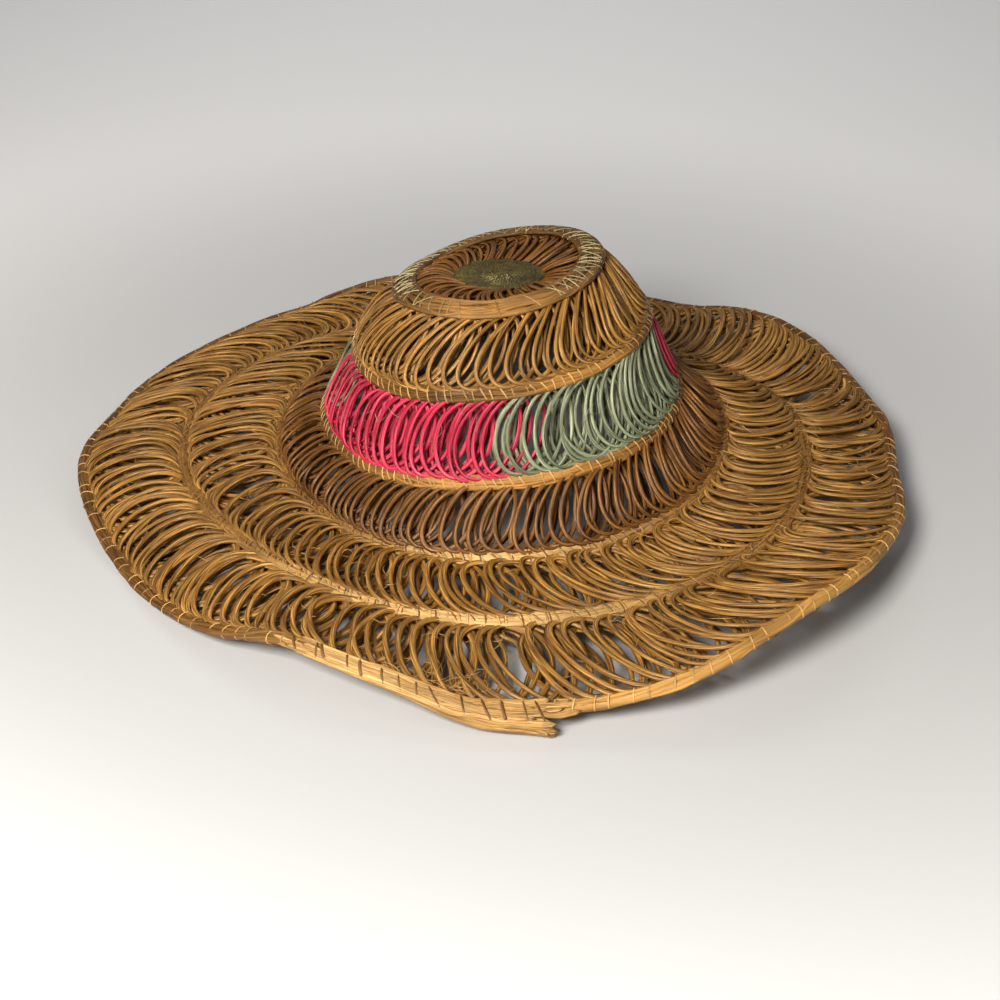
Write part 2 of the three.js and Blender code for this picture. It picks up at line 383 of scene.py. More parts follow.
def smooth_ring(values: np.ndarray, turns: np.ndarray) -> np.ndarray:
    """Reads a ring of evenly spaced values smoothly, along a cubic through each four neighbours.

    Args:
        values: The ring's values, one line for each.
        turns: Where to read, as turns round the ring.

    Returns:
        The values there.
    """
    count = len(values)
    place = np.mod(turns, 1.0) * count
    index = np.floor(place).astype(int)
    t = (place - index).reshape((-1,) + (1,) * (values.ndim - 1))
    before, here, after, beyond = (values[(index + step) % count] for step in (-1, 0, 1, 2))
    bend = 2 * before - 5 * here + 4 * after - beyond
    lift = 3 * here - before - 3 * after + beyond
    return 0.5 * (2 * here + (after - before) * t + bend * t**2 + lift * t**3)


def in_space(azimuth: np.ndarray, flat: np.ndarray) -> np.ndarray:
    """Turns reach and height into x, y and z about the hat's axis, for points or directions.

    Args:
        azimuth: The azimuth of each.
        flat: Reach and height of each.

    Returns:
        x, y and z of each, from the axis.
    """
    reach, height = flat[:, 0], flat[:, 1]
    return np.stack([reach * np.cos(azimuth), reach * np.sin(azimuth), height], axis=1)


def unit(vectors: np.ndarray) -> np.ndarray:
    """The vectors at length one."""
    return vectors / np.linalg.norm(vectors, axis=1, keepdims=True)


def turned_from(azimuth: np.ndarray, middle: float) -> np.ndarray:
    """How far azimuths are turned from a middle one, the shorter way round."""
    return np.angle(np.exp(1j * (azimuth - middle)))


def corners_of(node: str) -> tuple[np.ndarray, np.ndarray]:
    """The distinct corners of a node of the frame.

    Args:
        node: The node's name.

    Returns:
        Azimuths, and reach and height, of the corners about the hat's axis.
    """
    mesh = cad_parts[node].data
    places = np.empty(len(mesh.vertices) * 3)
    mesh.vertices.foreach_get("co", places)
    places = np.unique(np.round(places.reshape(-1, 3), CORNER_DIGITS), axis=0) - AXIS
    azimuth = np.arctan2(places[:, 1], places[:, 0])
    return azimuth, np.stack([np.hypot(places[:, 0], places[:, 1]), places[:, 2]], axis=1)


class Section(Enum):
    """Which point of a ring's section its line follows."""

    MIDDLE = "middle"
    OUTER_EDGE = "outer edge"


@dataclass(frozen=True)
class RowLine:
    """A line round the hat.

    Attributes:
        places: Reach and height at even azimuths, from azimuth 0.
    """

    places: np.ndarray

    SAMPLES = 720

    @classmethod
    def measured(cls, node: str, sections: int, follow: Section = Section.MIDDLE) -> "RowLine":
        """Measures a ring of the frame.

        Args:
            node: The ring's node.
            sections: How many sections the ring has.
            follow: The point of each section that the line follows.

        Returns:
            The line.
        """
        azimuth, flat = corners_of(node)
        index = np.round(azimuth / FULL_TURN * sections).astype(int) % sections
        places = []
        for section in range(sections):
            ring = flat[index == section]
            if follow is Section.OUTER_EDGE:
                places.append(ring[np.argmax(ring[:, 0])])
            else:
                places.append(ring.mean(axis=0))
        return cls(np.array(places))

    def at(self, azimuth: np.ndarray) -> np.ndarray:
        """Reach and height at azimuths."""
        return smooth_ring(self.places, azimuth / FULL_TURN)

    def length(self) -> float:
        """The line's length round the hat."""
        azimuth = np.linspace(0, FULL_TURN, self.SAMPLES)
        return float(np.linalg.norm(np.diff(in_space(azimuth, self.at(azimuth)), axis=0), axis=1).sum())


@dataclass(frozen=True)
class Wall:
    """The wall between two rows.

    Attributes:
        upper: The row nearer the button.
        lower: The row nearer the rim.
        puff: How far the wall's middle stands out.
    """

    upper: RowLine
    lower: RowLine
    puff: float

    def way(self, azimuth: np.ndarray) -> np.ndarray:
        """The way down the wall, as reach and height."""
        return unit(self.lower.at(azimuth) - self.upper.at(azimuth))

    def place(
        self, azimuth: np.ndarray, share: np.ndarray, out: np.ndarray
    ) -> tuple[np.ndarray, np.ndarray]:
        """Places points on the wall.

        Args:
            azimuth: Azimuth of each point.
            share: From 0 on the upper row to 1 on the lower one.
            out: How far each point stands out of the wall.

        Returns:
            The points, and the way out of the wall at each.
        """
        top, bottom = self.upper.at(azimuth), self.lower.at(azimuth)
        way = unit(bottom - top)
        outward = np.stack([-way[:, 1], way[:, 0]], axis=1)
        stand = self.puff * np.sin(np.pi * np.clip(share, 0, 1)) + out
        flat = top + (bottom - top) * share[:, None] + outward * stand[:, None]
        return in_space(azimuth, flat) + AXIS, in_space(azimuth, outward)


@dataclass
class Guide:
    """Centre lines of strands, gathered into one mesh of edges.

    Attributes:
        runs: For each strand its points, outward ways, radii, tints, shares of dyeing and painted light,
            and whether it is joined.
    """

    runs: list[tuple] = field(default_factory=list)

    def add(
        self,
        points: np.ndarray,
        outward: np.ndarray,
        radius: np.ndarray | float,
        tint: np.ndarray | float,
        dye: np.ndarray | float = 0.0,
        joined: bool = False,
    ) -> None:
        """Adds a strand, lifted to lie on the floor where it would sink in.

        One that isn't joined end to end tapers to a point at both.

        Args:
            points: The strand's centre line.
            outward: The way out of the hat at each point.
            radius: The strand's radius.
            tint: Its brightness among the others, from 0 to 1.
            dye: How much of the finish's second colour it has, for dyeing and painted light, from 0 to 1.
            joined: Whether the strand runs back into its own start.
        """
        count = len(points)
        radii = np.broadcast_to(radius, count).astype(float).copy()
        laid = points.copy()
        laid[:, 2] = np.maximum(laid[:, 2], radii)
        if not joined:
            radii[[0, -1]] = 0.0
        spread = [np.broadcast_to(each, count).astype(float) for each in (tint, dye)]
        self.runs.append((laid, outward, radii, *spread, joined))

    def mesh(self, name: str) -> bpy.types.Mesh:
        """Makes the mesh of edges.

        Args:
            name: The mesh's name.

        Returns:
            The mesh, with its strands' sizes and tints on its points.
        """
        edges, start = [], 0
        for points, *_, joined in self.runs:
            index = np.arange(start, start + len(points))
            pairs = np.stack([index, np.roll(index, -1)], axis=1)
            edges.append(pairs if joined else pairs[:-1])
            start += len(points)
        pairs = np.concatenate(edges)
        made = bpy.data.meshes.new(name)
        made.vertices.add(start)
        made.edges.add(len(pairs))
        made.vertices.foreach_set("co", np.concatenate([run[0] for run in self.runs]).ravel())
        made.edges.foreach_set("vertices", pairs.ravel().astype(np.int32))
        outward = made.attributes.new("outward", "FLOAT_VECTOR", "POINT")
        outward.data.foreach_set("vector", np.concatenate([run[1] for run in self.runs]).ravel())
        for place, key in enumerate(("radius", "tint", "dye"), start=2):
            values = made.attributes.new(key, "FLOAT", "POINT")
            values.data.foreach_set("value", np.concatenate([run[place] for run in self.runs]))
        return made


def point_mesh(
    name: str, places: np.ndarray, ways: dict[str, np.ndarray], shades: dict[str, np.ndarray]
) -> bpy.types.Mesh:
    """Makes a mesh of loose points.

    Args:
        name: The mesh's name.
        places: The points.
        ways: Directions kept on them, by name.
        shades: Numbers kept on them, by name.

    Returns:
        The mesh.
    """
    made = bpy.data.meshes.new(name)
    made.vertices.add(len(places))
    made.vertices.foreach_set("co", places.ravel())
    for key, value in ways.items():
        made.attributes.new(key, "FLOAT_VECTOR", "POINT").data.foreach_set("vector", value.ravel())
    for key, value in shades.items():
        made.attributes.new(key, "FLOAT", "POINT").data.foreach_set("value", value)
    return made


class Grower:
    """A geometry node tree that grows a piece from a guide mesh."""

    MERGE_DISTANCE = 1e-7

    def __init__(self, name: str) -> None:
        """Starts the tree with its geometry input.

        Args:
            name: The tree's name.
        """
        self.sheet = Sheet(bpy.data.node_groups.new(name, "GeometryNodeTree"))
        self.tree = self.sheet.tree
        self.tree.interface.new_socket("Geometry", in_out="OUTPUT", socket_type="NodeSocketGeometry")
        self.tree.interface.new_socket("Guide", in_out="INPUT", socket_type="NodeSocketGeometry")
        self.entry = self.tree.nodes.new("NodeGroupInput")

    def value(self, name: str, kind: str) -> bpy.types.NodeSocket:
        """Adds a named input to the tree.

        Args:
            name: The input's name.
            kind: Its kind, such as Float.

        Returns:
            The socket that gives its value inside the tree.
        """
        self.tree.interface.new_socket(name, in_out="INPUT", socket_type="NodeSocket" + kind)
        return self.entry.outputs[name]

    def named(self, name: str, kind: str = "FLOAT") -> bpy.types.NodeSocket:
        """Reads an attribute of the guide."""
        reader = self.sheet.add("GeometryNodeInputNamedAttribute", {"Name": name}, data_type=kind)
        return self.sheet.out(reader, "Attribute")

    def captured(
        self, curve: bpy.types.NodeSocket, key: str
    ) -> tuple[bpy.types.NodeSocket, bpy.types.NodeSocket]:
        """Keeps each point's place along its own curve.

        Args:
            curve: The curves.
            key: Length or Factor, as the spline parameter names it.

        Returns:
            The curves, and the kept value.
        """
        keeper = self.sheet.add("GeometryNodeCaptureAttribute")
        keeper.capture_items.new("FLOAT", key)
        place = self.sheet.out(self.sheet.add("GeometryNodeSplineParameter"), key)
        self.tree.links.new(curve, keeper.inputs["Geometry"])
        self.tree.links.new(place, keeper.inputs[key])
        return keeper.outputs["Geometry"], keeper.outputs[key]

    def tube(
        self,
        curve: bpy.types.NodeSocket,
        radius: bpy.types.NodeSocket,
        sides: bpy.types.NodeSocket,
        flatness: bpy.types.NodeSocket | float,
    ) -> bpy.types.NodeSocket:
        """Skins curves with a closed tube that carries its own map.

        Args:
            curve: The curves.
            radius: The tube's radius.
            sides: Sides of its section.
            flatness: The section's thickness over its width.

        Returns:
            The tubes.
        """
        sheet = self.sheet
        curve, along = self.captured(curve, "Length")
        steps = sheet.sum_up("ADD", sides, 1.0)
        arc = sheet.add("GeometryNodeCurveArc", {
            "Resolution": steps, "Radius": 1.0, "Sweep Angle": FULL_TURN,
        })
        squeeze = sheet.out(sheet.add("ShaderNodeCombineXYZ", {"X": flatness, "Y": 1.0, "Z": 1.0}))
        section = sheet.add("GeometryNodeTransform", {"Geometry": sheet.out(arc), "Scale": squeeze})
        profile, round_it = self.captured(sheet.out(section), "Factor")
        skin = sheet.add("GeometryNodeCurveToMesh", {
            "Curve": curve, "Profile Curve": profile, "Scale": radius,
        })
        place = sheet.out(sheet.add("ShaderNodeCombineXYZ", {"X": along, "Y": round_it}))
        mapped = sheet.add("GeometryNodeStoreNamedAttribute", {
            "Geometry": sheet.out(skin), "Name": "strand", "Value": place,
        }, data_type="FLOAT2", domain="CORNER")
        closed = sheet.add("GeometryNodeMergeByDistance", {
            "Geometry": sheet.out(mapped), "Distance": self.MERGE_DISTANCE,
        })
        return sheet.out(sheet.add("GeometryNodeSetShadeSmooth", {"Geometry": sheet.out(closed)}))

    def close(self, geometry: bpy.types.NodeSocket, material: bpy.types.NodeSocket) -> None:
        """Ends the tree with realized, finished geometry.

        Args:
            geometry: What the tree has made.
            material: Its finish.
        """
        real = self.sheet.add("GeometryNodeRealizeInstances", {"Geometry": geometry})
        finished = self.sheet.add("GeometryNodeSetMaterial", {
            "Geometry": self.sheet.out(real), "Material": material,
        })
        self.sheet.add("NodeGroupOutput", {"Geometry": self.sheet.out(finished)})

    def grow(self, name: str, guide: bpy.types.Mesh, **values: object) -> bpy.types.Object:
        """Runs the tree over a guide and keeps the result as a plain mesh.

        Args:
            name: The piece's name.
            guide: The guide mesh.
            **values: The tree's inputs by name, with _ for a space.

        Returns:
            The piece.
        """
        source = placed(name + "_guide", guide)
        modifier = source.modifiers.new(self.tree.name, "NODES")
        modifier.node_group = self.tree
        sockets = [item for item in self.tree.interface.items_tree if item.in_out == "INPUT"]
        inputs = {item.name: item.identifier for item in sockets}
        for key, value in values.items():
            modifier[inputs[key.replace("_", " ")]] = value
        graph = bpy.context.evaluated_depsgraph_get()
        mesh = bpy.data.meshes.new_from_object(source.evaluated_get(graph), depsgraph=graph)
        mesh.name = name
        mesh.materials.clear()
        mesh.materials.append(values["Material"])
        mesh.polygons.foreach_set("material_index", np.zeros(len(mesh.polygons), np.int32))
        bpy.data.objects.remove(source)
        bpy.data.meshes.remove(guide)
        return placed(name, mesh)


class StrandGrower(Grower):
    """Grows strands of straw along a guide's edges."""

    def __init__(self) -> None:
        """Builds the tree."""
        super().__init__("grow_strands")
        sides = self.value("Sides", "Int")
        flatness = self.value("Flatness", "Float")
        material = self.value("Material", "Material")
        edges = self.entry.outputs["Guide"]
        curve = self.sheet.out(self.sheet.add("GeometryNodeMeshToCurve", {"Mesh": edges}))
        faced = self.sheet.add("GeometryNodeSetCurveNormal", {"Curve": curve}, mode="FREE")
        self.tree.links.new(self.named("outward", "FLOAT_VECTOR"), faced.inputs["Normal"])
        strands = self.tube(self.sheet.out(faced), self.named("radius"), sides, flatness)
        self.close(strands, material)


class StitchGrower(Grower):
    """Wraps a thread round a bundle at each point of a guide."""

    TIGHTEST, LOOSEST = 0.96, 1.05

    def __init__(self) -> None:
        """Builds the tree."""
        super().__init__("wrap_stitches")
        sheet = self.sheet
        width = self.value("Half Width", "Float")
        thickness = self.value("Half Thickness", "Float")
        thread = self.value("Thread", "Float")
        flatness = self.value("Flatness", "Float")
        sides = self.value("Sides", "Int")
        corners = self.value("Corners", "Int")
        slant = self.value("Slant", "Float")
        stray = self.value("Stray", "Float")
        seed = self.value("Seed", "Int")
        material = self.value("Material", "Material")

        circle = sheet.add("GeometryNodeCurvePrimitiveCircle", {"Resolution": corners, "Radius": 1.0})
        oval = sheet.add("GeometryNodeTransform", {
            "Geometry": sheet.out(circle),
            "Scale": sheet.out(sheet.add("ShaderNodeCombineXYZ", {"X": width, "Y": thickness, "Z": 1.0})),
        })
        faced = sheet.add("GeometryNodeSetCurveNormal", {"Curve": sheet.out(oval)}, mode="Z_UP")
        stitch = self.tube(sheet.out(faced), thread, sides, flatness)

        facing = sheet.add("FunctionNodeAxesToRotation", {
            "Primary Axis": self.named("along", "FLOAT_VECTOR"),
            "Secondary Axis": self.named("down", "FLOAT_VECTOR"),
        }, primary_axis="Z", secondary_axis="X")
        lean = sheet.add("FunctionNodeRandomValue", {
            "Min": sheet.sum_up("SUBTRACT", slant, stray),
            "Max": sheet.sum_up("ADD", slant, stray),
            "Seed": seed,
        }, data_type="FLOAT")
        tip = sheet.add("ShaderNodeCombineXYZ", {"Y": sheet.out(lean, "Value")})
        tipped = sheet.add("FunctionNodeRotateRotation", {
            "Rotation": sheet.out(facing),
            "Rotate By": sheet.out(sheet.add("FunctionNodeEulerToRotation", {"Euler": sheet.out(tip)})),
        }, rotation_space="LOCAL")
        size = sheet.add("FunctionNodeRandomValue", {
            "Min": self.TIGHTEST, "Max": self.LOOSEST, "Seed": sheet.sum_up("ADD", seed, 1.0),
        }, data_type="FLOAT")
        points = sheet.add("GeometryNodeMeshToPoints", {"Mesh": self.entry.outputs["Guide"]})
        wrapped = sheet.add("GeometryNodeInstanceOnPoints", {
            "Points": sheet.out(points),
            "Instance": stitch,
            "Rotation": sheet.out(tipped),
            "Scale": sheet.out(size, "Value"),
        })
        self.close(sheet.out(wrapped), material)


def dress(piece: bpy.types.Object, slot: str, *replaced: str) -> None:
    """Puts a finished piece on the hat's body and reports it.

    Args:
        piece: The piece.
        slot: The record's material slot that its finish belongs to; not used.
        *replaced: The frame's nodes that it stands for.
    """
    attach(piece, BODY)
    if replaced:
        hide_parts(*replaced)
    LOG.info("%s: %d triangles", piece.name, len(piece.data.loops) - 2 * len(piece.data.polygons))


@dataclass(frozen=True)
class LoopShape:
    """The shape of one band's loops, each a flattened coil of the strand.

    Attributes:
        width: A loop's width along the band.
        sag: How far below the middle a loop is widest, from 0 to about 0.3.
        lean: How far a loop's top stands behind its bottom, against the way that it bulges.
        left_turn: What is added to the lean on the hat's left.
        over: How far its two sides stand apart, one over and one under the wall.
        tuck: How far its turns at the upper row stand in, behind the row's face.
        lap: How far its turns at the lower row stand out, onto the row's face.
        upper_reach: How far a loop's top stays short of the upper row's middle.
        lower_reach: How far its bottom stays short of the lower row's middle.
        strand: The strand's diameter.
        unevenness: How much loops differ.
        flatness: The strand's thickness over its width.
    """

    width: float
    sag: float
    lean: float
    over: float
    tuck: float
    lap: float
    upper_reach: float
    lower_reach: float
    strand: float
    left_turn: float = 0.0
    unevenness: float = 0.16
    flatness: float = 0.7


@dataclass(frozen=True)
class Laid:
    """How a layer of loops lies.

    Attributes:
        points: Points in each loop.
        depth: How far it lies behind the wall, in thicknesses of the loops.
        shade: Its strand's mean brightness, from 0 to 1.
        seed: Seed of its unevenness.
    """

    points: int
    depth: float
    shade: float
    seed: int


class Layer(Enum):
    """The layers of a band's loops."""

    FACE = Laid(points=30, depth=0.0, shade=0.55, seed=1)
    # The back layer's low mean brightness is painted shade, for lying under the face layer.
    BACK = Laid(points=20, depth=1.0, shade=0.1, seed=2)


@dataclass(frozen=True)
class LoopBand:
    """An open band: strand that runs round the hat in loops from row to row, in two layers.

    Attributes:
        node: The frame's node that the strand stands for.
        wall: The wall that it lies in.
        loops: Loops over its whole stretch.
        shape: The loops' shape.
        finish: The straw's finish.
        slot: The record's material slot.
        seed: Seed of its unevenness.
        crowding: How much closer its loops are at the sides and the back than at the front.
        backing: How many loops its back layer has for each one of its face.
        quarter: Whether the band is one of the coloured quarters.
        past: How far a quarter's two ends lie past its node's, in degrees.
    """

    node: str
    wall: Wall
    loops: int
    shape: LoopShape
    finish: Finish
    slot: str
    seed: int
    crowding: float = 0.0
    backing: float = 0.8
    quarter: bool = False
    past: tuple[float, float] = (0.0, 0.0)

    SIDES = 6
    SAMPLES = 721
    EDGE_DEPTH = 8 * MM

    # The front, where loops aren't crowded, and the left, where they lean further.
    FRONT = math.radians(270)
    FRONT_REACH = math.radians(35)
    LEFT = math.radians(215)
    LEFT_REACH = math.radians(48)
    LEFT_STEEPNESS = 6

    # How much each measure varies from loop to loop.
    LEAN_CHANCE = 0.6
    SLIP_CHANCE = 0.45
    OVER_CHANCE = 0.3
    REACH_CHANCE = 0.3
    LIFT_CHANCE = 0.12
    RADIUS_CHANCE = 0.1
    TINT_CHANCE = 0.3

    def stretch(self) -> tuple[float, float]:
        """Finds where the band lies. A quarter's ends are those of its node along the upper row.

        Returns:
            The azimuth where it starts, and how far it runs.
        """
        if not self.quarter:
            return self.FRONT, FULL_TURN
        azimuth, flat = corners_of(self.node)
        at_edge = np.linalg.norm(flat - self.wall.upper.at(azimuth), axis=1) < self.EDGE_DEPTH
        centre = np.angle(np.exp(1j * azimuth).mean())
        turned = turned_from(azimuth[at_edge], centre)
        start = turned.min() + math.radians(self.past[0])
        end = turned.max() + math.radians(self.past[1])
        return centre + start, end - start

    def middles(self, start: float, span: float, turns: np.ndarray) -> np.ndarray:
        """Spreads the loops round the hat.

        Args:
            start: Azimuth where they start.
            span: How far they run.
            turns: Shares of all the loops, from 0 to 1.

        Returns:
            The azimuth of each.
        """
        azimuth = start + span * np.linspace(0, 1, self.SAMPLES)
        away = turned_from(azimuth, self.FRONT)
        crowd = 1 + self.crowding * (1 - np.exp(-((away / self.FRONT_REACH) ** 2)))
        passed = np.concatenate([[0.0], np.cumsum(crowd[1:] + crowd[:-1])])
        return np.interp(turns, passed / passed[-1], azimuth)

    def at_left(self, azimuth: np.ndarray) -> np.ndarray:
        """How far azimuths lie within the hat's left, from 0 to 1."""
        away = turned_from(azimuth, self.LEFT)
        return 1 / (1 + (away / self.LEFT_REACH) ** self.LEFT_STEEPNESS)

    def lay(self, made: Guide, layer: Layer) -> None:
        """Lays one strand along the band, in loops.

        Args:
            made: The guide that the strand goes into.
            layer: The layer that it is in.
        """
        laid = layer.value
        random = np.random.default_rng((self.seed, laid.seed))
        shape = self.shape
        start, span = self.stretch()
        joined = not self.quarter
        loops = round(self.loops * (self.backing if layer is Layer.BACK else 1.0))
        turns = np.arange(loops * laid.points + (not joined)) / (loops * laid.points)
        phase = turns * loops * FULL_TURN

        def uneven(amount: float) -> np.ndarray:
            """A smooth run of chance values, one knot for each loop."""
            return smooth_ring(random.normal(0.0, amount, loops), turns)

        width = shape.width * (1 + uneven(shape.unevenness))
        middle = self.middles(start, span, turns)
        lean = shape.lean + shape.left_turn * self.at_left(middle)
        lean = lean + shape.width * uneven(shape.unevenness * self.LEAN_CHANCE)
        slip = shape.strand * uneven(self.SLIP_CHANCE)
        over = shape.over * (1 + uneven(self.OVER_CHANCE))
        upper, lower = self.wall.upper.at(middle), self.wall.lower.at(middle)
        depth = np.linalg.norm(lower - upper, axis=1)
        top = (shape.upper_reach + shape.strand * uneven(self.REACH_CHANCE)) / depth
        bottom = 1 - (shape.lower_reach + shape.strand * uneven(self.REACH_CHANCE)) / depth

        # Each turn of the phase is one loop, at the upper row where the phase is a whole turn.
        down = (1 - np.cos(phase)) / 2
        share = top + (bottom - top) * down
        bulge = np.sin(phase) - shape.sag * np.sin(2 * phase)
        shift = slip - bulge * width / 2 + lean * (0.5 - down)
        reach = (1 - share) * upper[:, 0] + share * lower[:, 0]
        at_rows = np.where(np.cos(phase) > 0, -shape.tuck, shape.lap) * np.cos(phase) ** 2
        sunk = laid.depth * (over / 2 + shape.strand)
        out = over * np.sin(phase) / 2 + at_rows + shape.strand * uneven(self.LIFT_CHANCE) - sunk
        points, outward = self.wall.place(middle + shift / reach, share, out)
        radius = shape.strand / 2 * (1 + uneven(self.RADIUS_CHANCE))
        # A back layer's strand is painted darker, as painted shade.
        tint = np.clip(laid.shade + uneven(self.TINT_CHANCE), 0, 1)
        made.add(points, outward, radius, tint, joined=joined)

    def build(self, grower: StrandGrower) -> None:
        """Makes the band's strand.

        Args:
            grower: The tree that grows strands.
        """
        made = Guide()
        for layer in Layer:
            self.lay(made, layer)
        piece = grower.grow(
            self.node + "_strand", made.mesh(self.node + "_guide"),
            Sides=self.SIDES, Flatness=self.shape.flatness, Material=self.finish.material())
        dress(piece, self.slot, self.node)


@dataclass(frozen=True)
class Stitching:
    """How a row is bound.

    Attributes:
        name: What the binding is called.
        spacing: From one turn to the next.
        thread: Width of the thread or straw.
        flatness: Its thickness over its width.
        slant: How far a turn leans from straight across.
        stray: How much the slant varies.
        finish: Its finish.
        gaps: Share of its turns that are left out where the row takes its second colour.
    """

    name: str
    spacing: float
    thread: float
    flatness: float
    slant: float
    stray: float
    finish: Finish
    gaps: float = 0.0


@dataclass(frozen=True)
class SewnRow:
    """A sewn row: a bundle of straws round the hat with thread wrapped over it.

    Attributes:
        node: The frame's node that the bundle stands for.
        line: The row's centre line.
        walls: The walls above and below it.
        width: The bundle's width along the wall.
        thickness: Its thickness.
        straws: How many straws show round it.
        straw: A straw's width.
        finish: The straws' finish.
        slot: The record's material slot.
        bindings: What is wrapped round it.
        seed: Seed of its unevenness.
        dyed_at: Azimuths in degrees where the thread and straw take their second colour: dyeing, paler
            straw and painted light.
        dye_reach: How far that second colour reaches to either side, in degrees.
        shift: How far the bundle lies down the wall from the centre line.
    """

    node: str
    line: RowLine
    walls: tuple[Wall, ...]
    width: float
    thickness: float
    straws: int
    straw: float
    finish: Finish
    slot: str
    bindings: tuple[Stitching, ...]
    seed: int
    dyed_at: tuple[float, ...]
    dye_reach: float
    shift: float = 0.0

    STEP = 5 * MM
    SIDES = 6
    FLATNESS = 0.85
    # The core's darker tint is painted shade where it shows between the straws.
    CORE_SHARE = 0.8
    CORE_SHADE_TINT = 0.2

    # How much each measure varies along a straw, and how often it may change.
    KNOT_SPACING = 18 * MM
    FEWEST_KNOTS = 8
    WANDER_CHANCE = 0.4
    SWELL_CHANCE = 0.13
    RADIUS_CHANCE = 0.12
    TINT_CHANCE = 0.3

    # The turns of thread, and the step aside that tells which way the row runs.
    SPACING_CHANCE = 0.3
    SIDESTEP = 0.001
    CORNERS = 12
    THREAD_SIDES = 5

    def way(self, azimuth: np.ndarray) -> np.ndarray:
        """The way down the wall at the row, as reach and height."""
        return unit(sum(wall.way(azimuth) for wall in self.walls))

    def middle(self, azimuth: np.ndarray) -> np.ndarray:
        """Reach and height of the bundle's middle."""
        return self.line.at(azimuth) + self.way(azimuth) * self.shift

    def dye(self, azimuth: np.ndarray) -> np.ndarray:
        """How much of the second colour shows, for dyeing and painted light.

        Args:
            azimuth: Where to tell it.

        Returns:
            A share from 0 to 1 at each azimuth.
        """
        shares = [np.zeros_like(azimuth)]
        for degrees in self.dyed_at:
            away = turned_from(azimuth, math.radians(degrees))
            shares.append(np.exp(-((away / math.radians(self.dye_reach)) ** 2)))
        return np.max(shares, axis=0)

    def guide(self) -> Guide:
        """Works out the straws, and the core that they cover.

        Returns:
            The guide of the bundle.
        """
        random = np.random.default_rng(self.seed)
        made = Guide()
        count = round(self.line.length() / self.STEP)
        turns = np.arange(count) / count
        azimuth = turns * FULL_TURN
        centre, way = self.middle(azimuth), self.way(azimuth)
        across = np.stack([-way[:, 1], way[:, 0]], axis=1)
        half_width = (self.width - self.straw) / 2
        half_thickness = (self.thickness - self.straw) / 2
        knots = max(self.FEWEST_KNOTS, round(self.line.length() / self.KNOT_SPACING))
        dye = self.dye(azimuth)

        def uneven(amount: float) -> np.ndarray:
            """A smooth run of chance values along the row."""
            return smooth_ring(random.normal(0.0, amount, knots), turns)

        for straw in range(self.straws):
            place = straw / self.straws * FULL_TURN + uneven(self.WANDER_CHANCE)
            swell = 1 + uneven(self.SWELL_CHANCE)
            along = (half_width * swell * np.cos(place))[:, None] * way
            beside = (half_thickness * swell * np.sin(place))[:, None] * across
            facing = np.cos(place)[:, None] * way / self.width
            outward = unit(facing + np.sin(place)[:, None] * across / self.thickness)
            radius = self.straw / 2 * (1 + uneven(self.RADIUS_CHANCE))
            tint = np.clip(0.5 + uneven(self.TINT_CHANCE), 0, 1)
            points = in_space(azimuth, centre + along + beside) + AXIS
            made.add(points, in_space(azimuth, outward), radius, tint, dye, joined=True)
        # The core is painted darker, as painted shade between the straws.
        core = self.thickness / 2 * self.CORE_SHARE
        for side in (-1, 0, 1):
            shifted = centre + way * side * (self.width / 2 - core)
            points = in_space(azimuth, shifted) + AXIS
            made.add(points, in_space(azimuth, across), core, self.CORE_SHADE_TINT, dye, joined=True)
        return made

    def binding_guide(self, binding: Stitching, seed: int) -> bpy.types.Mesh:
        """Sets out where a binding goes round.

        Args:
            binding: The binding.
            seed: Seed of its unevenness.

        Returns:
            A mesh of points, each with the row's way along and the wall's way down.
        """
        random = np.random.default_rng(seed)
        count = round(self.line.length() / binding.spacing)
        stray = random.uniform(-self.SPACING_CHANCE, self.SPACING_CHANCE, count)
        azimuth = np.sort(np.mod((np.arange(count) + stray) / count * FULL_TURN, FULL_TURN))
        dye = self.dye(azimuth)
        kept = random.uniform(0, 1, count) > binding.gaps * dye
        azimuth, dye = azimuth[kept], dye[kept]
        ahead, behind = azimuth + self.SIDESTEP, azimuth - self.SIDESTEP
        along = unit(in_space(ahead, self.line.at(ahead)) - in_space(behind, self.line.at(behind)))
        places = in_space(azimuth, self.middle(azimuth)) + AXIS
        ways = {"along": along, "down": in_space(azimuth, self.way(azimuth))}
        shades = {"tint": random.uniform(0, 1, len(azimuth)), "dye": dye}
        return point_mesh(f"{self.node}_{binding.name}_guide", places, ways, shades)

    def build(self, strands: StrandGrower, stitches: StitchGrower) -> None:
        """Makes the row's bundle and what is wrapped round it.

        Args:
            strands: The tree that grows strands.
            stitches: The tree that wraps thread.
        """
        bundle = strands.grow(
            self.node + "_bundle", self.guide().mesh(self.node + "_guide"),
            Sides=self.SIDES, Flatness=self.FLATNESS, Material=self.finish.material())
        dress(bundle, self.slot, self.node)
        for place, binding in enumerate(self.bindings, start=1):
            wound = stitches.grow(
                f"{self.node}_{binding.name}", self.binding_guide(binding, self.seed + place),
                Half_Width=self.width / 2, Half_Thickness=self.thickness / 2, Corners=self.CORNERS,
                Thread=binding.thread / 2, Flatness=binding.flatness, Sides=self.THREAD_SIDES,
                Slant=binding.slant, Stray=binding.stray, Seed=self.seed + place,
                Material=binding.finish.material())
            dress(wound, self.slot)


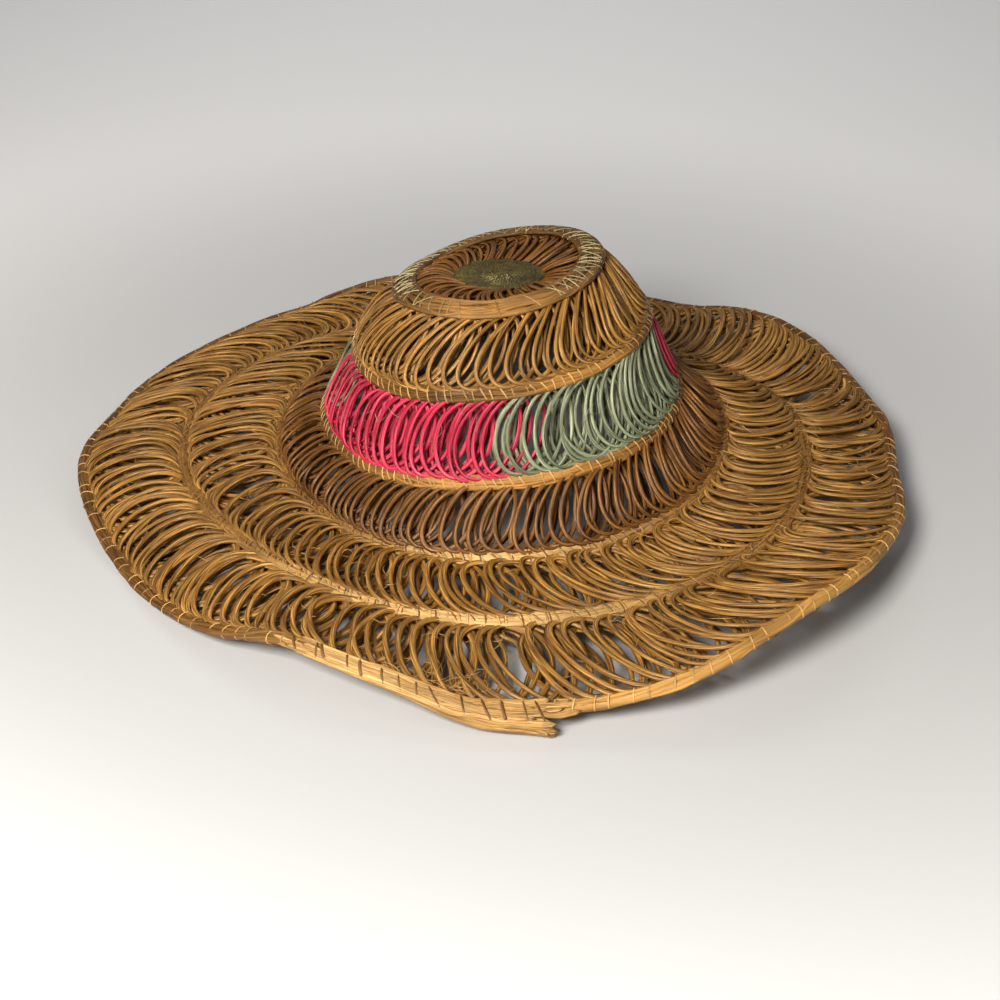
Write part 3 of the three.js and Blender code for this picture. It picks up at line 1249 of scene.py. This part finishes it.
@dataclass(frozen=True)
class CrownButton:
    """The coiled button at the middle of the crown.

    Attributes:
        edge: The line of its outer edge.
        overhang: How far it covers the loops beyond that edge.
        pitch: From one turn of the coil to the next.
        strand: The coiled strand's diameter.
        thread: Diameter of the thread wrapped over it.
        wrap: From one wrap of the thread to the next.
        seed: Seed of its unevenness.
    """

    edge: RowLine
    overhang: float = 1.9 * MM
    pitch: float = 2.3 * MM
    strand: float = 3.0 * MM
    thread: float = 0.7 * MM
    wrap: float = 2.0 * MM
    seed: int = 71

    # The coil's strand.
    STEP = 1.4 * MM
    INNERMOST = 0.0006
    COIL_SIDES = 8
    COIL_FLATNESS = 0.8
    COIL_TINTS = (0.2, 0.8)

    # Its ragged edge, its roughness, its dome and the dimple in the middle.
    RAGGED = 0.5 * MM
    RAGGED_POINTS = 5
    RAGGED_REACH = 4
    ROUGH = 0.2 * MM
    ROUGH_POINTS = 3
    DOME = 1.4 * MM
    DIMPLE = 1.8 * MM
    DIMPLE_REACH = 0.3

    # The thread wrapped over it, as shares of the strand, and where a painted highlight lies on the
    # thread.
    FIRST_WRAP = 2
    WRAP_WIDTH = 0.52
    WRAP_THICKNESS = 0.42
    WRAP_SLANT = 0.4
    WRAP_CORNERS = 8
    THREAD_SIDES = 4
    THREAD_FLATNESS = 0.6
    HIGHLIGHT_PLACE = np.array([0.05, -0.4])
    HIGHLIGHT_REACH = 0.32
    HIGHLIGHT_BIAS = 1.5

    def outer(self) -> float:
        """Reach of the coil's last turn."""
        return self.edge.places[:, 0].mean() - self.strand / 2 + self.overhang

    def painted_highlight(self, points: np.ndarray) -> np.ndarray:
        """How much painted highlight the thread has at points, from 0 to 1."""
        away = (points - AXIS)[:, :2] / self.outer() - self.HIGHLIGHT_PLACE
        return np.exp(-(away**2).sum(axis=1) / self.HIGHLIGHT_REACH**2)

    def coil(self) -> tuple[np.ndarray, np.ndarray, np.ndarray, np.ndarray]:
        """Works out the coil.

        Returns:
            Its points, the ways out, along and across it.
        """
        random = np.random.default_rng(self.seed)
        centre = np.array([0.0, 0.0, self.edge.places[:, 1].mean()])
        outer = self.outer()
        turns = outer / self.pitch
        count = round(math.pi * outer * turns / self.STEP)
        share = np.sqrt(np.linspace(self.INNERMOST, 1, count))
        azimuth = share * turns * FULL_TURN
        knots = random.normal(0.0, self.RAGGED, count // self.RAGGED_POINTS)
        ragged = smooth_ring(knots, np.linspace(0, 1, count))
        reach = share * outer + ragged * share**self.RAGGED_REACH
        edge = in_space(azimuth, self.edge.at(azimuth))
        points = centre + (edge - centre) * (reach / np.linalg.norm(edge - centre, axis=1))[:, None]
        dimple = self.DIMPLE * np.exp(-((share / self.DIMPLE_REACH) ** 2))
        knots = random.normal(0.0, self.ROUGH, count // self.ROUGH_POINTS)
        rough = smooth_ring(knots, np.linspace(0, 1, count, endpoint=False))
        points[:, 2] += self.DOME * (1 - share**2) - dimple + rough
        along = unit(np.gradient(points, axis=0))
        across = unit(points - centre + TINY)
        outward = unit(np.cross(across, along))
        outward *= np.sign(outward[:, 2:3])
        return points + AXIS, outward, along, across

    def build(self, strands: StrandGrower, stitches: StitchGrower) -> None:
        """Makes the coil and the thread over it.

        Args:
            strands: The tree that grows strands.
            stitches: The tree that wraps thread.
        """
        points, outward, along, across = self.coil()
        made = Guide()
        random = np.random.default_rng(self.seed + 1)
        made.add(points, outward, self.strand / 2, random.uniform(*self.COIL_TINTS, len(points)))
        coil = strands.grow(
            "crown_button_coil", made.mesh("crown_button_guide"),
            Sides=self.COIL_SIDES, Flatness=self.COIL_FLATNESS, Material=Finish.SAGE.material())
        dress(coil, "sage_button", "crown_button")

        every = slice(self.FIRST_WRAP, None, max(1, round(self.wrap / self.STEP)))
        chance = random.uniform(0, 1, len(points[every]))
        # A pale spot on the thread towards the front is a painted highlight, laid on as the thread's
        # second colour.
        painted_highlight = self.painted_highlight(points[every]) * chance**self.HIGHLIGHT_BIAS
        shades = {"tint": random.permutation(chance), "dye": painted_highlight}
        ways = {"along": along[every], "down": across[every]}
        guide = point_mesh("crown_button_wraps_guide", points[every], ways, shades)
        wraps = stitches.grow(
            "crown_button_wraps", guide,
            Half_Width=self.strand * self.WRAP_WIDTH, Half_Thickness=self.strand * self.WRAP_THICKNESS,
            Corners=self.WRAP_CORNERS, Thread=self.thread / 2, Flatness=self.THREAD_FLATNESS,
            Sides=self.THREAD_SIDES, Slant=self.WRAP_SLANT, Stray=self.WRAP_SLANT, Seed=self.seed,
            Material=Finish.SAGE.material())
        dress(wraps, "sage_button")


@dataclass(frozen=True)
class RimEnd:
    """The loose end of the rim's straw: flat pale straws draped over the rim, cut off and frayed.

    Attributes:
        rim: The rim's centre line.
        straws: How many straws it has.
        straw: A straw's width.
        stitches: How many stitches cross it.
        thread: The stitches' thickness.
        seed: Seed of its unevenness.
    """

    rim: RowLine
    straws: int = 40
    straw: float = 2.6 * MM
    stitches: int = 14
    thread: float = 1.5 * MM
    seed: int = 83

    # The skin that the straws lie on, from its foot over the brow to the rim's top.
    SECTIONS = 18
    RIM_TOP = np.array([-1.0, 3.6]) * MM
    FOOT_DOWN, FOOT_OUT = 0.9, 0.6
    BROW_UP = 0.7
    SKIN = 0.6 * MM
    RUN_ON = 0.16
    CLOSE_TO_RIM = ((0.0, 0.5, 0.75), (0.5, 0.58, 1.0))

    # The straws. Low ones start together and are cut off together, and high ones start and end anywhere.
    POINTS = 40
    KNOTS = 9
    LOWEST = 0.03
    HIGH = 0.3
    HIGH_STARTS, LOW_STARTS = (-0.1, 0.35), (-0.02, 0.1)
    LOOSE = 0.55
    LOOSE_ENDS, CUT_ENDS = (0.75, 1.1), (0.975, 1.01)
    FRAY = 1.3 * MM
    LOOSE_FRAY = 0.1
    FRAY_REACH = 0.1
    WANDER_CHANCE = 0.05
    SKIN_LAYERS = (0.0, 1.6)
    ASTRAY_LIFT = 0.3
    STRAW_SIZES, STRAW_TINTS = (0.5, 1.2), (0.1, 1.0)
    STRAW_SIDES, STRAW_FLATNESS = 8, 0.24

    # The stitches over them.
    STITCH_LEVELS = (0.3, 0.6)
    STITCH_PIVOT = 0.6
    STITCH_SLANTS = (0.02, 0.1)
    STITCH_CHANCE = 0.02
    STITCH_SKIN = 1.7
    STITCH_SIZES, STITCH_TINTS = (0.7, 1.2), (0.0, 1.0)
    STITCH_SIDES, STITCH_FLATNESS = 6, 0.4

    def sections(self) -> tuple[np.ndarray, np.ndarray, np.ndarray, np.ndarray]:
        """Measures the frame's solid.

        Returns:
            Azimuths, middles as reach and height, and half extents along its height and its thickness.
        """
        azimuth, flat = corners_of("rim_end")
        azimuth = np.mod(azimuth, FULL_TURN)
        order = np.argsort(azimuth)
        groups = np.array_split(order, self.SECTIONS)
        middles = np.array([flat[g].mean(axis=0) for g in groups])
        spans = np.array([np.ptp(flat[g], axis=0) / 2 for g in groups])
        azimuths = np.array([azimuth[g].mean() for g in groups])
        return azimuths, middles, spans[:, 1], spans[:, 0]

    def drape(self, share: np.ndarray, level: np.ndarray) -> tuple[np.ndarray, np.ndarray, np.ndarray]:
        """Places points on the skin that runs from the end's foot up over the rim.

        Args:
            share: From 0 where the end starts to 1 where it is cut off.
            level: From 0 at its foot to 1 on top of the rim.

        Returns:
            Azimuths, reach and height, and the way out at each.
        """
        azimuths, middles, tall, thick = self.sections()
        azimuth = azimuths[0] + share * (azimuths[-1] - azimuths[0])
        rim = self.rim.at(azimuth)
        beyond = np.clip(1 - np.maximum(share - 1, -share) / self.RUN_ON, 0, 1)[:, None]
        beyond = np.where((share[:, None] > 1) | (share[:, None] < 0), beyond, 1.0)
        beyond = beyond * np.interp(share, *self.CLOSE_TO_RIM)[:, None]
        middle = np.stack([np.interp(azimuth, azimuths, middles[:, k]) for k in (0, 1)], axis=1)
        high = np.interp(azimuth, azimuths, tall)[:, None] * np.array([0.0, 1.0])
        deep = np.interp(azimuth, azimuths, thick)[:, None] * np.array([1.0, 0.0])
        foot = middle - high * self.FOOT_DOWN + deep * self.FOOT_OUT
        brow = middle + high * self.BROW_UP + deep
        foot, brow = (rim + (place - rim) * beyond for place in (foot, brow))
        top = rim + self.RIM_TOP

        # The skin bends from the foot over the brow to the top, and passes through the brow half way.
        t = level[:, None]
        bend = 2 * brow - (foot + top) / 2
        flat = (1 - t) ** 2 * foot + 2 * t * (1 - t) * bend + t**2 * top
        slope = 2 * (1 - t) * (bend - foot) + 2 * t * (top - bend)
        slope = unit(slope + TINY)
        return azimuth, flat, np.stack([slope[:, 1], -slope[:, 0]], axis=1)

    def straw_guide(self, random: np.random.Generator) -> Guide:
        """Lays the straws, the low ones cut and frayed together and the high ones ending one by one.

        Args:
            random: Where its unevenness comes from.

        Returns:
            The guide of the straws.
        """
        made = Guide()
        for level in np.linspace(self.LOWEST, 1.0, self.straws):
            loose = level >= self.LOOSE
            first = random.uniform(*(self.HIGH_STARTS if level > self.HIGH else self.LOW_STARTS))
            last = random.uniform(*(self.LOOSE_ENDS if loose else self.CUT_ENDS))
            fray = self.FRAY * self.LOOSE_FRAY if loose else self.FRAY
            share = np.linspace(first, last, self.POINTS)
            knots = random.normal(0.0, self.WANDER_CHANCE, self.KNOTS)
            wander = np.interp(share, np.linspace(first, last, self.KNOTS), knots)
            azimuth, flat, outward = self.drape(share, np.clip(level + wander, 0, 1))
            near_end = np.clip((share - last + self.FRAY_REACH) / self.FRAY_REACH, 0, 1)
            astray = near_end**2 * random.normal(0.0, fray)
            lifted = self.SKIN * random.uniform(*self.SKIN_LAYERS) + np.abs(astray) * self.ASTRAY_LIFT
            flat = flat + outward * lifted[:, None]
            flat[:, 1] += astray
            radius = self.straw / 2 * random.uniform(*self.STRAW_SIZES)
            made.add(
                in_space(azimuth, flat) + AXIS, in_space(azimuth, outward),
                radius, random.uniform(*self.STRAW_TINTS))
        return made

    def stitch_guide(self, random: np.random.Generator) -> Guide:
        """Lays the stitches, from the top of the rim down over the straws.

        Args:
            random: Where its unevenness comes from.

        Returns:
            The guide of the stitches.
        """
        made = Guide()
        for place in np.linspace(self.LOWEST, 1 - self.LOWEST, self.stitches):
            level = np.linspace(random.uniform(*self.STITCH_LEVELS), 1.0, self.KNOTS)
            stray = random.uniform(-self.STITCH_CHANCE, self.STITCH_CHANCE)
            share = place + stray - (level - self.STITCH_PIVOT) * random.uniform(*self.STITCH_SLANTS)
            azimuth, flat, outward = self.drape(share, level)
            flat = flat + outward * (self.SKIN * self.STITCH_SKIN)
            radius = self.thread / 2 * random.uniform(*self.STITCH_SIZES)
            made.add(
                in_space(azimuth, flat) + AXIS, in_space(azimuth, outward),
                radius, random.uniform(*self.STITCH_TINTS))
        return made

    def build(self, strands: StrandGrower) -> None:
        """Makes the straws and the stitches over them.

        Args:
            strands: The tree that grows strands.
        """
        random = np.random.default_rng(self.seed)
        straws = strands.grow(
            "rim_end_straws", self.straw_guide(random).mesh("rim_end_guide"),
            Sides=self.STRAW_SIDES, Flatness=self.STRAW_FLATNESS, Material=Finish.PALE.material())
        dress(straws, "rim_straw", "rim_end")
        # The stitches over the end are painted dark, as painted stitch shadow.
        threads = strands.grow(
            "rim_end_stitches", self.stitch_guide(random).mesh("rim_end_stitches_guide"),
            Sides=self.STITCH_SIDES, Flatness=self.STITCH_FLATNESS,
            Material=Finish.PAINTED_SHADOW_THREAD.material())
        dress(threads, "rim_straw")


@dataclass(frozen=True)
class StrayFibres:
    """Thin fibres that have come loose from the straw.

    Attributes:
        wall: The wall that they stand on.
        name: The piece's name.
        count: How many there are.
        slot: The record's material slot.
        finish: Their finish.
        seed: Seed of their places.
        around: Azimuths in degrees between which they stand.
        highest: Share of the way down the wall where the highest ones stand.
    """

    wall: Wall
    name: str
    count: int
    slot: str
    finish: Finish
    seed: int
    around: tuple[float, float] = (0, 360)
    highest: float = -0.03

    LENGTH = 17 * MM
    REACH_OUT = 2.6 * MM
    THICKNESS = 0.4 * MM
    POINTS = 6
    SIDES = 3
    FLATNESS = 0.8

    # What each fibre's own length, reach out and thickness are drawn from, as shares of the usual ones.
    LENGTHS = (0.35, 1.2)
    REACHES = (0.3, 1.0)
    THICKNESSES = (0.5, 1.0)
    TINTS = (0.3, 1.0)

    # How it curls along the wall and arches out of it, and where on the wall it is held.
    CURL = 1.1
    ARCHES = (1.5, 3.6)
    ARCH_LIFT = 0.5
    WALL_SHARES = (-0.08, 1.04)

    def build(self, strands: StrandGrower) -> None:
        """Makes the fibres.

        Args:
            strands: The tree that grows strands.
        """
        random = np.random.default_rng(self.seed)
        made = Guide()
        steps = np.linspace(0, 1, self.POINTS)
        for _ in range(self.count):
            start = math.radians(random.uniform(*self.around))
            share = random.uniform(self.highest, 1.0)
            heading = random.uniform(0, FULL_TURN)
            length = self.LENGTH * random.uniform(*self.LENGTHS)
            turn = heading + steps * random.normal(0.0, self.CURL)
            here = np.array([start])
            top, bottom = self.wall.upper.at(here)[0], self.wall.lower.at(here)[0]
            azimuth = start + steps * length * np.cos(turn) / bottom[0]
            down = share + steps * length * np.sin(turn) / np.linalg.norm(bottom - top)
            arch = self.ARCH_LIFT + np.sin(steps * random.uniform(*self.ARCHES))
            out = self.REACH_OUT * random.uniform(*self.REACHES) * arch
            points, outward = self.wall.place(azimuth, np.clip(down, *self.WALL_SHARES), out)
            radius = self.THICKNESS / 2 * random.uniform(*self.THICKNESSES)
            made.add(points, outward, radius, random.uniform(*self.TINTS))
        piece = strands.grow(
            self.name, made.mesh(self.name + "_guide"),
            Sides=self.SIDES, Flatness=self.FLATNESS, Material=self.finish.material())
        dress(piece, self.slot)


@dataclass(frozen=True)
class Hat:
    """The whole hat, from the button down to the rim.

    Attributes:
        lines: Every row's line, by the row's name.
        walls: The walls between neighbouring rows, by the names of their bands.
    """

    lines: dict[str, RowLine]
    walls: dict[str, Wall]

    # How many sections each ring of the frame has, and each wall's rows and puff.
    SECTIONS = {
        "top_row": 48, "second_row": 48, "third_row": 48, "base_row": 60, "middle_row": 64, "rim": 96,
    }
    BUTTON_SECTIONS = 28
    WALLS = {
        "crown_top": ("button", "top_row", 1.0 * MM),
        "upper": ("top_row", "second_row", 0.9 * MM),
        "coloured": ("second_row", "third_row", -1.4 * MM),
        "lower": ("third_row", "base_row", -1.5 * MM),
        "inner_brim": ("base_row", "middle_row", -1.0 * MM),
        "outer_brim": ("middle_row", "rim", 0.5 * MM),
    }

    @classmethod
    def measured(cls) -> "Hat":
        """Measures every row of the frame and sets up the walls between them.

        Returns:
            The hat.
        """
        lines = {name: RowLine.measured(name, count) for name, count in cls.SECTIONS.items()}
        lines["button"] = RowLine.measured("crown_button", cls.BUTTON_SECTIONS, Section.OUTER_EDGE)
        walls = {
            name: Wall(lines[upper], lines[lower], puff)
            for name, (upper, lower, puff) in cls.WALLS.items()
        }
        return cls(lines, walls)

    def bands(self) -> list[LoopBand]:
        """The open bands of loops.

        Returns:
            The bands, from the button down.
        """
        crown_top = LoopShape(
            width=15 * MM, sag=0.1, lean=6 * MM, over=3.4 * MM, tuck=1.2 * MM, lap=-0.8 * MM,
            upper_reach=-1 * MM, lower_reach=6.5 * MM, strand=2.0 * MM)
        upper = LoopShape(
            width=20 * MM, sag=0.16, lean=15 * MM, over=4.4 * MM, tuck=0.2 * MM, lap=1.4 * MM,
            upper_reach=2.6 * MM, lower_reach=2 * MM, strand=2.3 * MM)
        coloured = LoopShape(
            width=28 * MM, sag=0.0, lean=8 * MM, over=4.6 * MM, tuck=0.2 * MM, lap=1.2 * MM,
            upper_reach=2.5 * MM, lower_reach=2.4 * MM, strand=2.2 * MM, unevenness=0.12)
        lower = LoopShape(
            width=19 * MM, sag=0.08, lean=9 * MM, over=5 * MM, tuck=0.2 * MM, lap=1.2 * MM,
            upper_reach=2.5 * MM, lower_reach=2 * MM, strand=2.5 * MM)
        inner_brim = LoopShape(
            width=27 * MM, sag=-0.08, lean=-9 * MM, over=5 * MM, tuck=0.2 * MM, lap=1.6 * MM,
            upper_reach=2.5 * MM, lower_reach=2 * MM, strand=2.6 * MM, unevenness=0.2, flatness=0.66)
        outer_brim = LoopShape(
            width=28 * MM, sag=-0.1, lean=-13 * MM, over=5.5 * MM, tuck=0.4 * MM, lap=1.2 * MM,
            upper_reach=2.5 * MM, lower_reach=2 * MM, strand=2.9 * MM, left_turn=16 * MM,
            unevenness=0.24, flatness=0.66)
        walls = self.walls
        # The crown's top and the lower band are natural straw darkened as painted shade.
        natural, dark = (Finish.NATURAL, "looped_straw"), (Finish.DARK, "looped_straw")
        pink, green = (Finish.PINK, "pink_straw"), (Finish.GREEN, "green_straw")
        quarter = {"backing": 1.3, "quarter": True}
        ring = walls["coloured"]

        # On the right the edge between green and pink lies further to the front than their nodes' ends.
        return [
            LoopBand("crown_top_loops", walls["crown_top"], 66, crown_top, *dark, seed=11),
            LoopBand("upper_loops", walls["upper"], 84, upper, *natural, seed=12, crowding=0.5),
            LoopBand("pink_loops_front", ring, 22, coloured, *pink, seed=13, **quarter),
            LoopBand("green_loops_right", ring, 22, coloured, *green, seed=14, past=(0, -9), **quarter),
            LoopBand("pink_loops_back", ring, 24, coloured, *pink, seed=15, past=(-9, 0), **quarter),
            LoopBand("green_loops_left", ring, 22, coloured, *green, seed=16, **quarter),
            LoopBand(
                "lower_loops", walls["lower"], 128, lower, Finish.DARK, "dark_straw", seed=17,
                crowding=0.4, backing=1.0),
            LoopBand(
                "inner_brim_loops", walls["inner_brim"], 186, inner_brim, *natural, seed=18,
                crowding=0.5),
            LoopBand(
                "outer_brim_loops", walls["outer_brim"], 256, outer_brim, *natural, seed=19,
                crowding=0.7, backing=0.65),
        ]

    def row(self, node: str, *beside: str, **fields: object) -> SewnRow:
        """One sewn row, a narrow one of sewn straw unless its fields say otherwise.

        Args:
            node: The row's node.
            *beside: The names of the walls that it joins.
            **fields: The row's other fields.

        Returns:
            The row.
        """
        usual = {
            "width": 8 * MM, "thickness": 4 * MM, "straws": 17, "straw": 1.9 * MM, "slot": "sewn_straw",
        }
        walls = tuple(self.walls[name] for name in beside)
        return SewnRow(node=node, line=self.lines[node], walls=walls, **{**usual, **fields})

    def rows(self) -> list[SewnRow]:
        """The sewn rows.

        Returns:
            The rows, from the button down.
        """
        zig = Stitching(
            "stitches", spacing=6.0 * MM, thread=0.7 * MM, flatness=0.8, slant=-0.4, stray=0.3,
            finish=Finish.SAGE_THREAD, gaps=0.9)
        zag = Stitching(
            "back_stitches", spacing=7.0 * MM, thread=0.7 * MM, flatness=0.8, slant=0.35, stray=0.3,
            finish=Finish.SAGE_THREAD, gaps=0.9)
        fine = Stitching(
            "stitches", spacing=4.8 * MM, thread=0.8 * MM, flatness=0.6, slant=-0.4, stray=0.3,
            finish=Finish.THREAD)
        # The brim rows' dark slits are thread painted dark, as painted stitch shadow.
        shadow_slits = Stitching(
            "shadow_slits", spacing=8.0 * MM, thread=0.7 * MM, flatness=0.6, slant=-0.5, stray=0.4,
            finish=Finish.PAINTED_SHADOW_THREAD)
        flecks = Stitching(
            "flecks", spacing=4.6 * MM, thread=1.1 * MM, flatness=0.4, slant=-0.6, stray=0.5,
            finish=Finish.BRIM_SEWN)
        wide = Stitching(
            "stitches", spacing=9.0 * MM, thread=0.7 * MM, flatness=0.8, slant=0.3, stray=0.15,
            finish=Finish.THREAD)
        crown = {"finish": Finish.SEWN, "bindings": (fine,)}
        brim = {"finish": Finish.BRIM_SEWN, "bindings": (shadow_slits, flecks), "dye_reach": 34}

        # The top row lies mostly along the crown's top, so that wall counts twice in its way down.
        return [
            # The top row is painted lighter towards the front, as painted light; the other rows' paler
            # fronts are partly painted light.
            self.row(
                "top_row", "crown_top", "crown_top", "upper", seed=31,
                width=13.6 * MM, thickness=3.4 * MM, straws=24, shift=-2.6 * MM,
                finish=Finish.TOP_SEWN, bindings=(zig, zag), dyed_at=(258, 276), dye_reach=26),
            self.row("second_row", "upper", "coloured", seed=33, dyed_at=(306,), dye_reach=24, **crown),
            self.row("third_row", "coloured", "lower", seed=35, dyed_at=(272,), dye_reach=44, **crown),
            self.row("base_row", "lower", "inner_brim", seed=37, dyed_at=(268,), **brim),
            self.row("middle_row", "inner_brim", "outer_brim", seed=39, dyed_at=(262,), **brim),
            self.row(
                "rim", "outer_brim", seed=41,
                width=7.6 * MM, thickness=6 * MM, straws=13, straw=2 * MM, slot="rim_straw",
                finish=Finish.RIM, bindings=(wide,), dyed_at=(264, 288, 312), dye_reach=22),
        ]

    def fibres(self) -> list[StrayFibres]:
        """The loose fibres.

        Returns:
            The fibres, by wall.
        """
        inner, outer = self.walls["inner_brim"], self.walls["outer_brim"]
        straw = ("looped_straw", Finish.THREAD)
        return [
            StrayFibres(self.walls["coloured"], "green_fibres", 60, "green_straw", Finish.GREEN, seed=61),
            StrayFibres(inner, "inner_brim_fibres", 220, *straw, seed=62),
            StrayFibres(outer, "outer_brim_fibres", 420, *straw, seed=63),
            StrayFibres(outer, "torn_fibres", 90, *straw, seed=64, around=(257, 269), highest=0.84),
        ]

    def build(self) -> None:
        """Makes every piece of the hat."""
        strands, stitches = StrandGrower(), StitchGrower()
        CrownButton(self.lines["button"]).build(strands, stitches)
        for band in self.bands():
            band.build(strands)
        for row in self.rows():
            row.build(strands, stitches)
        RimEnd(self.lines["rim"]).build(strands)
        for fibres in self.fibres():
            fibres.build(strands)


def turn_to(thing: bpy.types.Object, place: Point, target: Point) -> None:
    """Puts a light or a camera at a place, facing a target.

    Args:
        thing: The light or the camera.
        place: Where it goes.
        target: The point that it faces.
    """
    thing.location = place
    thing.rotation_euler = (Vector(target) - Vector(place)).to_track_quat("-Z", "Y").to_euler()


@dataclass(frozen=True)
class SoftLight:
    """A soft square light.

    Attributes:
        name: The light's name.
        place: Where it hangs.
        size: Its width.
        power: Its power in watts.
        tone: Its colour.
        target: The point that it faces, the hat's place unless another is given.
    """

    name: str
    place: Point
    size: float
    power: float
    tone: Colour
    target: Point = (0.0, 0.0, 0.0)

    def build(self) -> None:
        """Hangs the light."""
        data = bpy.data.lights.new(self.name, "AREA")
        data.size, data.energy, data.color = self.size, self.power, self.tone
        turn_to(placed(self.name, data), self.place, self.target)


@dataclass(frozen=True)
class Studio:
    """The floor, the lights and the camera.

    Attributes:
        camera_place: Where the camera stands.
        camera_target: The point that it looks at.
        lens: Its focal length in millimetres.
        sensor: Its sensor's width in millimetres.
        floor_size: The floor's width.
        floor_painted_shade: The floor's colour under the hat, darkened as painted shade.
        floor_far: Its colour further off.
        floor_paling: From where to where the painted shade pales into the floor's colour, measured from
            the hat.
        ambience: Strength of the even light from all round.
    """

    camera_place: Point = (0.006984, -0.7488, 0.4718)
    camera_target: Point = (0.006984, 0.003105, -0.022811)
    lens: float = 56.52
    sensor: float = 36.0
    floor_size: float = 6.0
    floor_painted_shade: Colour = (0.54, 0.536, 0.53)
    floor_far: Colour = (0.9, 0.89, 0.88)
    floor_paling: tuple[float, float] = (0.22, 0.6)
    ambience: float = 0.1

    FLOOR_ROUGHNESS = 0.8
    LIGHTS = (
        SoftLight("key_light", (-0.35, -0.85, 0.8), size=0.34, power=20, tone=(1.0, 0.97, 0.92)),
        SoftLight("fill_light", (2.2, -1.2, 1.6), size=1.2, power=8, tone=(1.0, 0.98, 0.96)),
        SoftLight(
            "floor_light", (0.0, 1.1, 1.3), size=1.2, power=8, tone=(1.0, 1.0, 1.0),
            target=(0.0, 1.6, 0.0)),
    )

    def floor_paint(self) -> bpy.types.Material:
        """Makes the floor's finish: plain, with painted shade under the hat that pales further off.

        Returns:
            The material.
        """
        material = bpy.data.materials.new("floor_paint")
        material.use_nodes = True
        sheet = Sheet(material.node_tree)
        shader = material.node_tree.nodes["Principled BSDF"]
        where = sheet.out(sheet.add("ShaderNodeTexCoord"), "Object")
        away = sheet.add("ShaderNodeVectorMath", {0: where}, operation="LENGTH")
        near, far = self.floor_paling
        paling = sheet.add("ShaderNodeMapRange", {
            "Value": sheet.out(away, "Value"), "From Min": near, "From Max": far,
        }, interpolation_type="SMOOTHSTEP")
        # Painted shade: the floor is darker under the hat and pales further off.
        paint = sheet.add("ShaderNodeMix", {
            "Factor": sheet.out(paling), "A": (*self.floor_painted_shade, 1), "B": (*self.floor_far, 1),
        }, data_type="RGBA")
        material.node_tree.links.new(sheet.out(paint, "Result"), shader.inputs["Base Color"])
        shader.inputs["Roughness"].default_value = self.FLOOR_ROUGHNESS
        return material

    def floor(self) -> None:
        """Lays the floor."""
        half = self.floor_size / 2
        mesh = bpy.data.meshes.new("floor")
        corners_round = [(-half, -half, 0), (half, -half, 0), (half, half, 0), (-half, half, 0)]
        mesh.from_pydata(corners_round, [], [(0, 1, 2, 3)])
        mesh.materials.append(self.floor_paint())
        placed("floor", mesh)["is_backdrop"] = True

    def world(self) -> None:
        """Fills the room with even white light, and shows colours as they are."""
        world = bpy.data.worlds.new("studio")
        world.use_nodes = True
        background = world.node_tree.nodes["Background"]
        background.inputs["Color"].default_value = (1, 1, 1, 1)
        background.inputs["Strength"].default_value = self.ambience
        bpy.context.scene.world = world
        bpy.context.scene.view_settings.view_transform = "Standard"

    def camera(self) -> None:
        """Sets the camera at the photograph's angle."""
        data = bpy.data.cameras.new("camera")
        data.lens, data.sensor_width = self.lens, self.sensor
        camera = placed("camera", data)
        turn_to(camera, self.camera_place, self.camera_target)
        bpy.context.scene.camera = camera

    def build(self) -> None:
        """Sets up the studio."""
        self.floor()
        for light in self.LIGHTS:
            light.build()
        self.world()
        self.camera()


def corners(bounds: tuple[Vector, Vector]) -> list[list[float]]:
    """A box's lowest and highest corners as plain lists."""
    return [list(corner) for corner in bounds]


def main() -> None:
    """Builds the studio and the hat."""
    logging.basicConfig(level=logging.INFO, format="%(name)s %(message)s")
    solid_box = corners(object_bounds())
    Studio().build()
    Hat.measured().build()
    {"cad": solid_box, "visual": corners(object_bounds())}


if __name__ == "__main__":
    main()
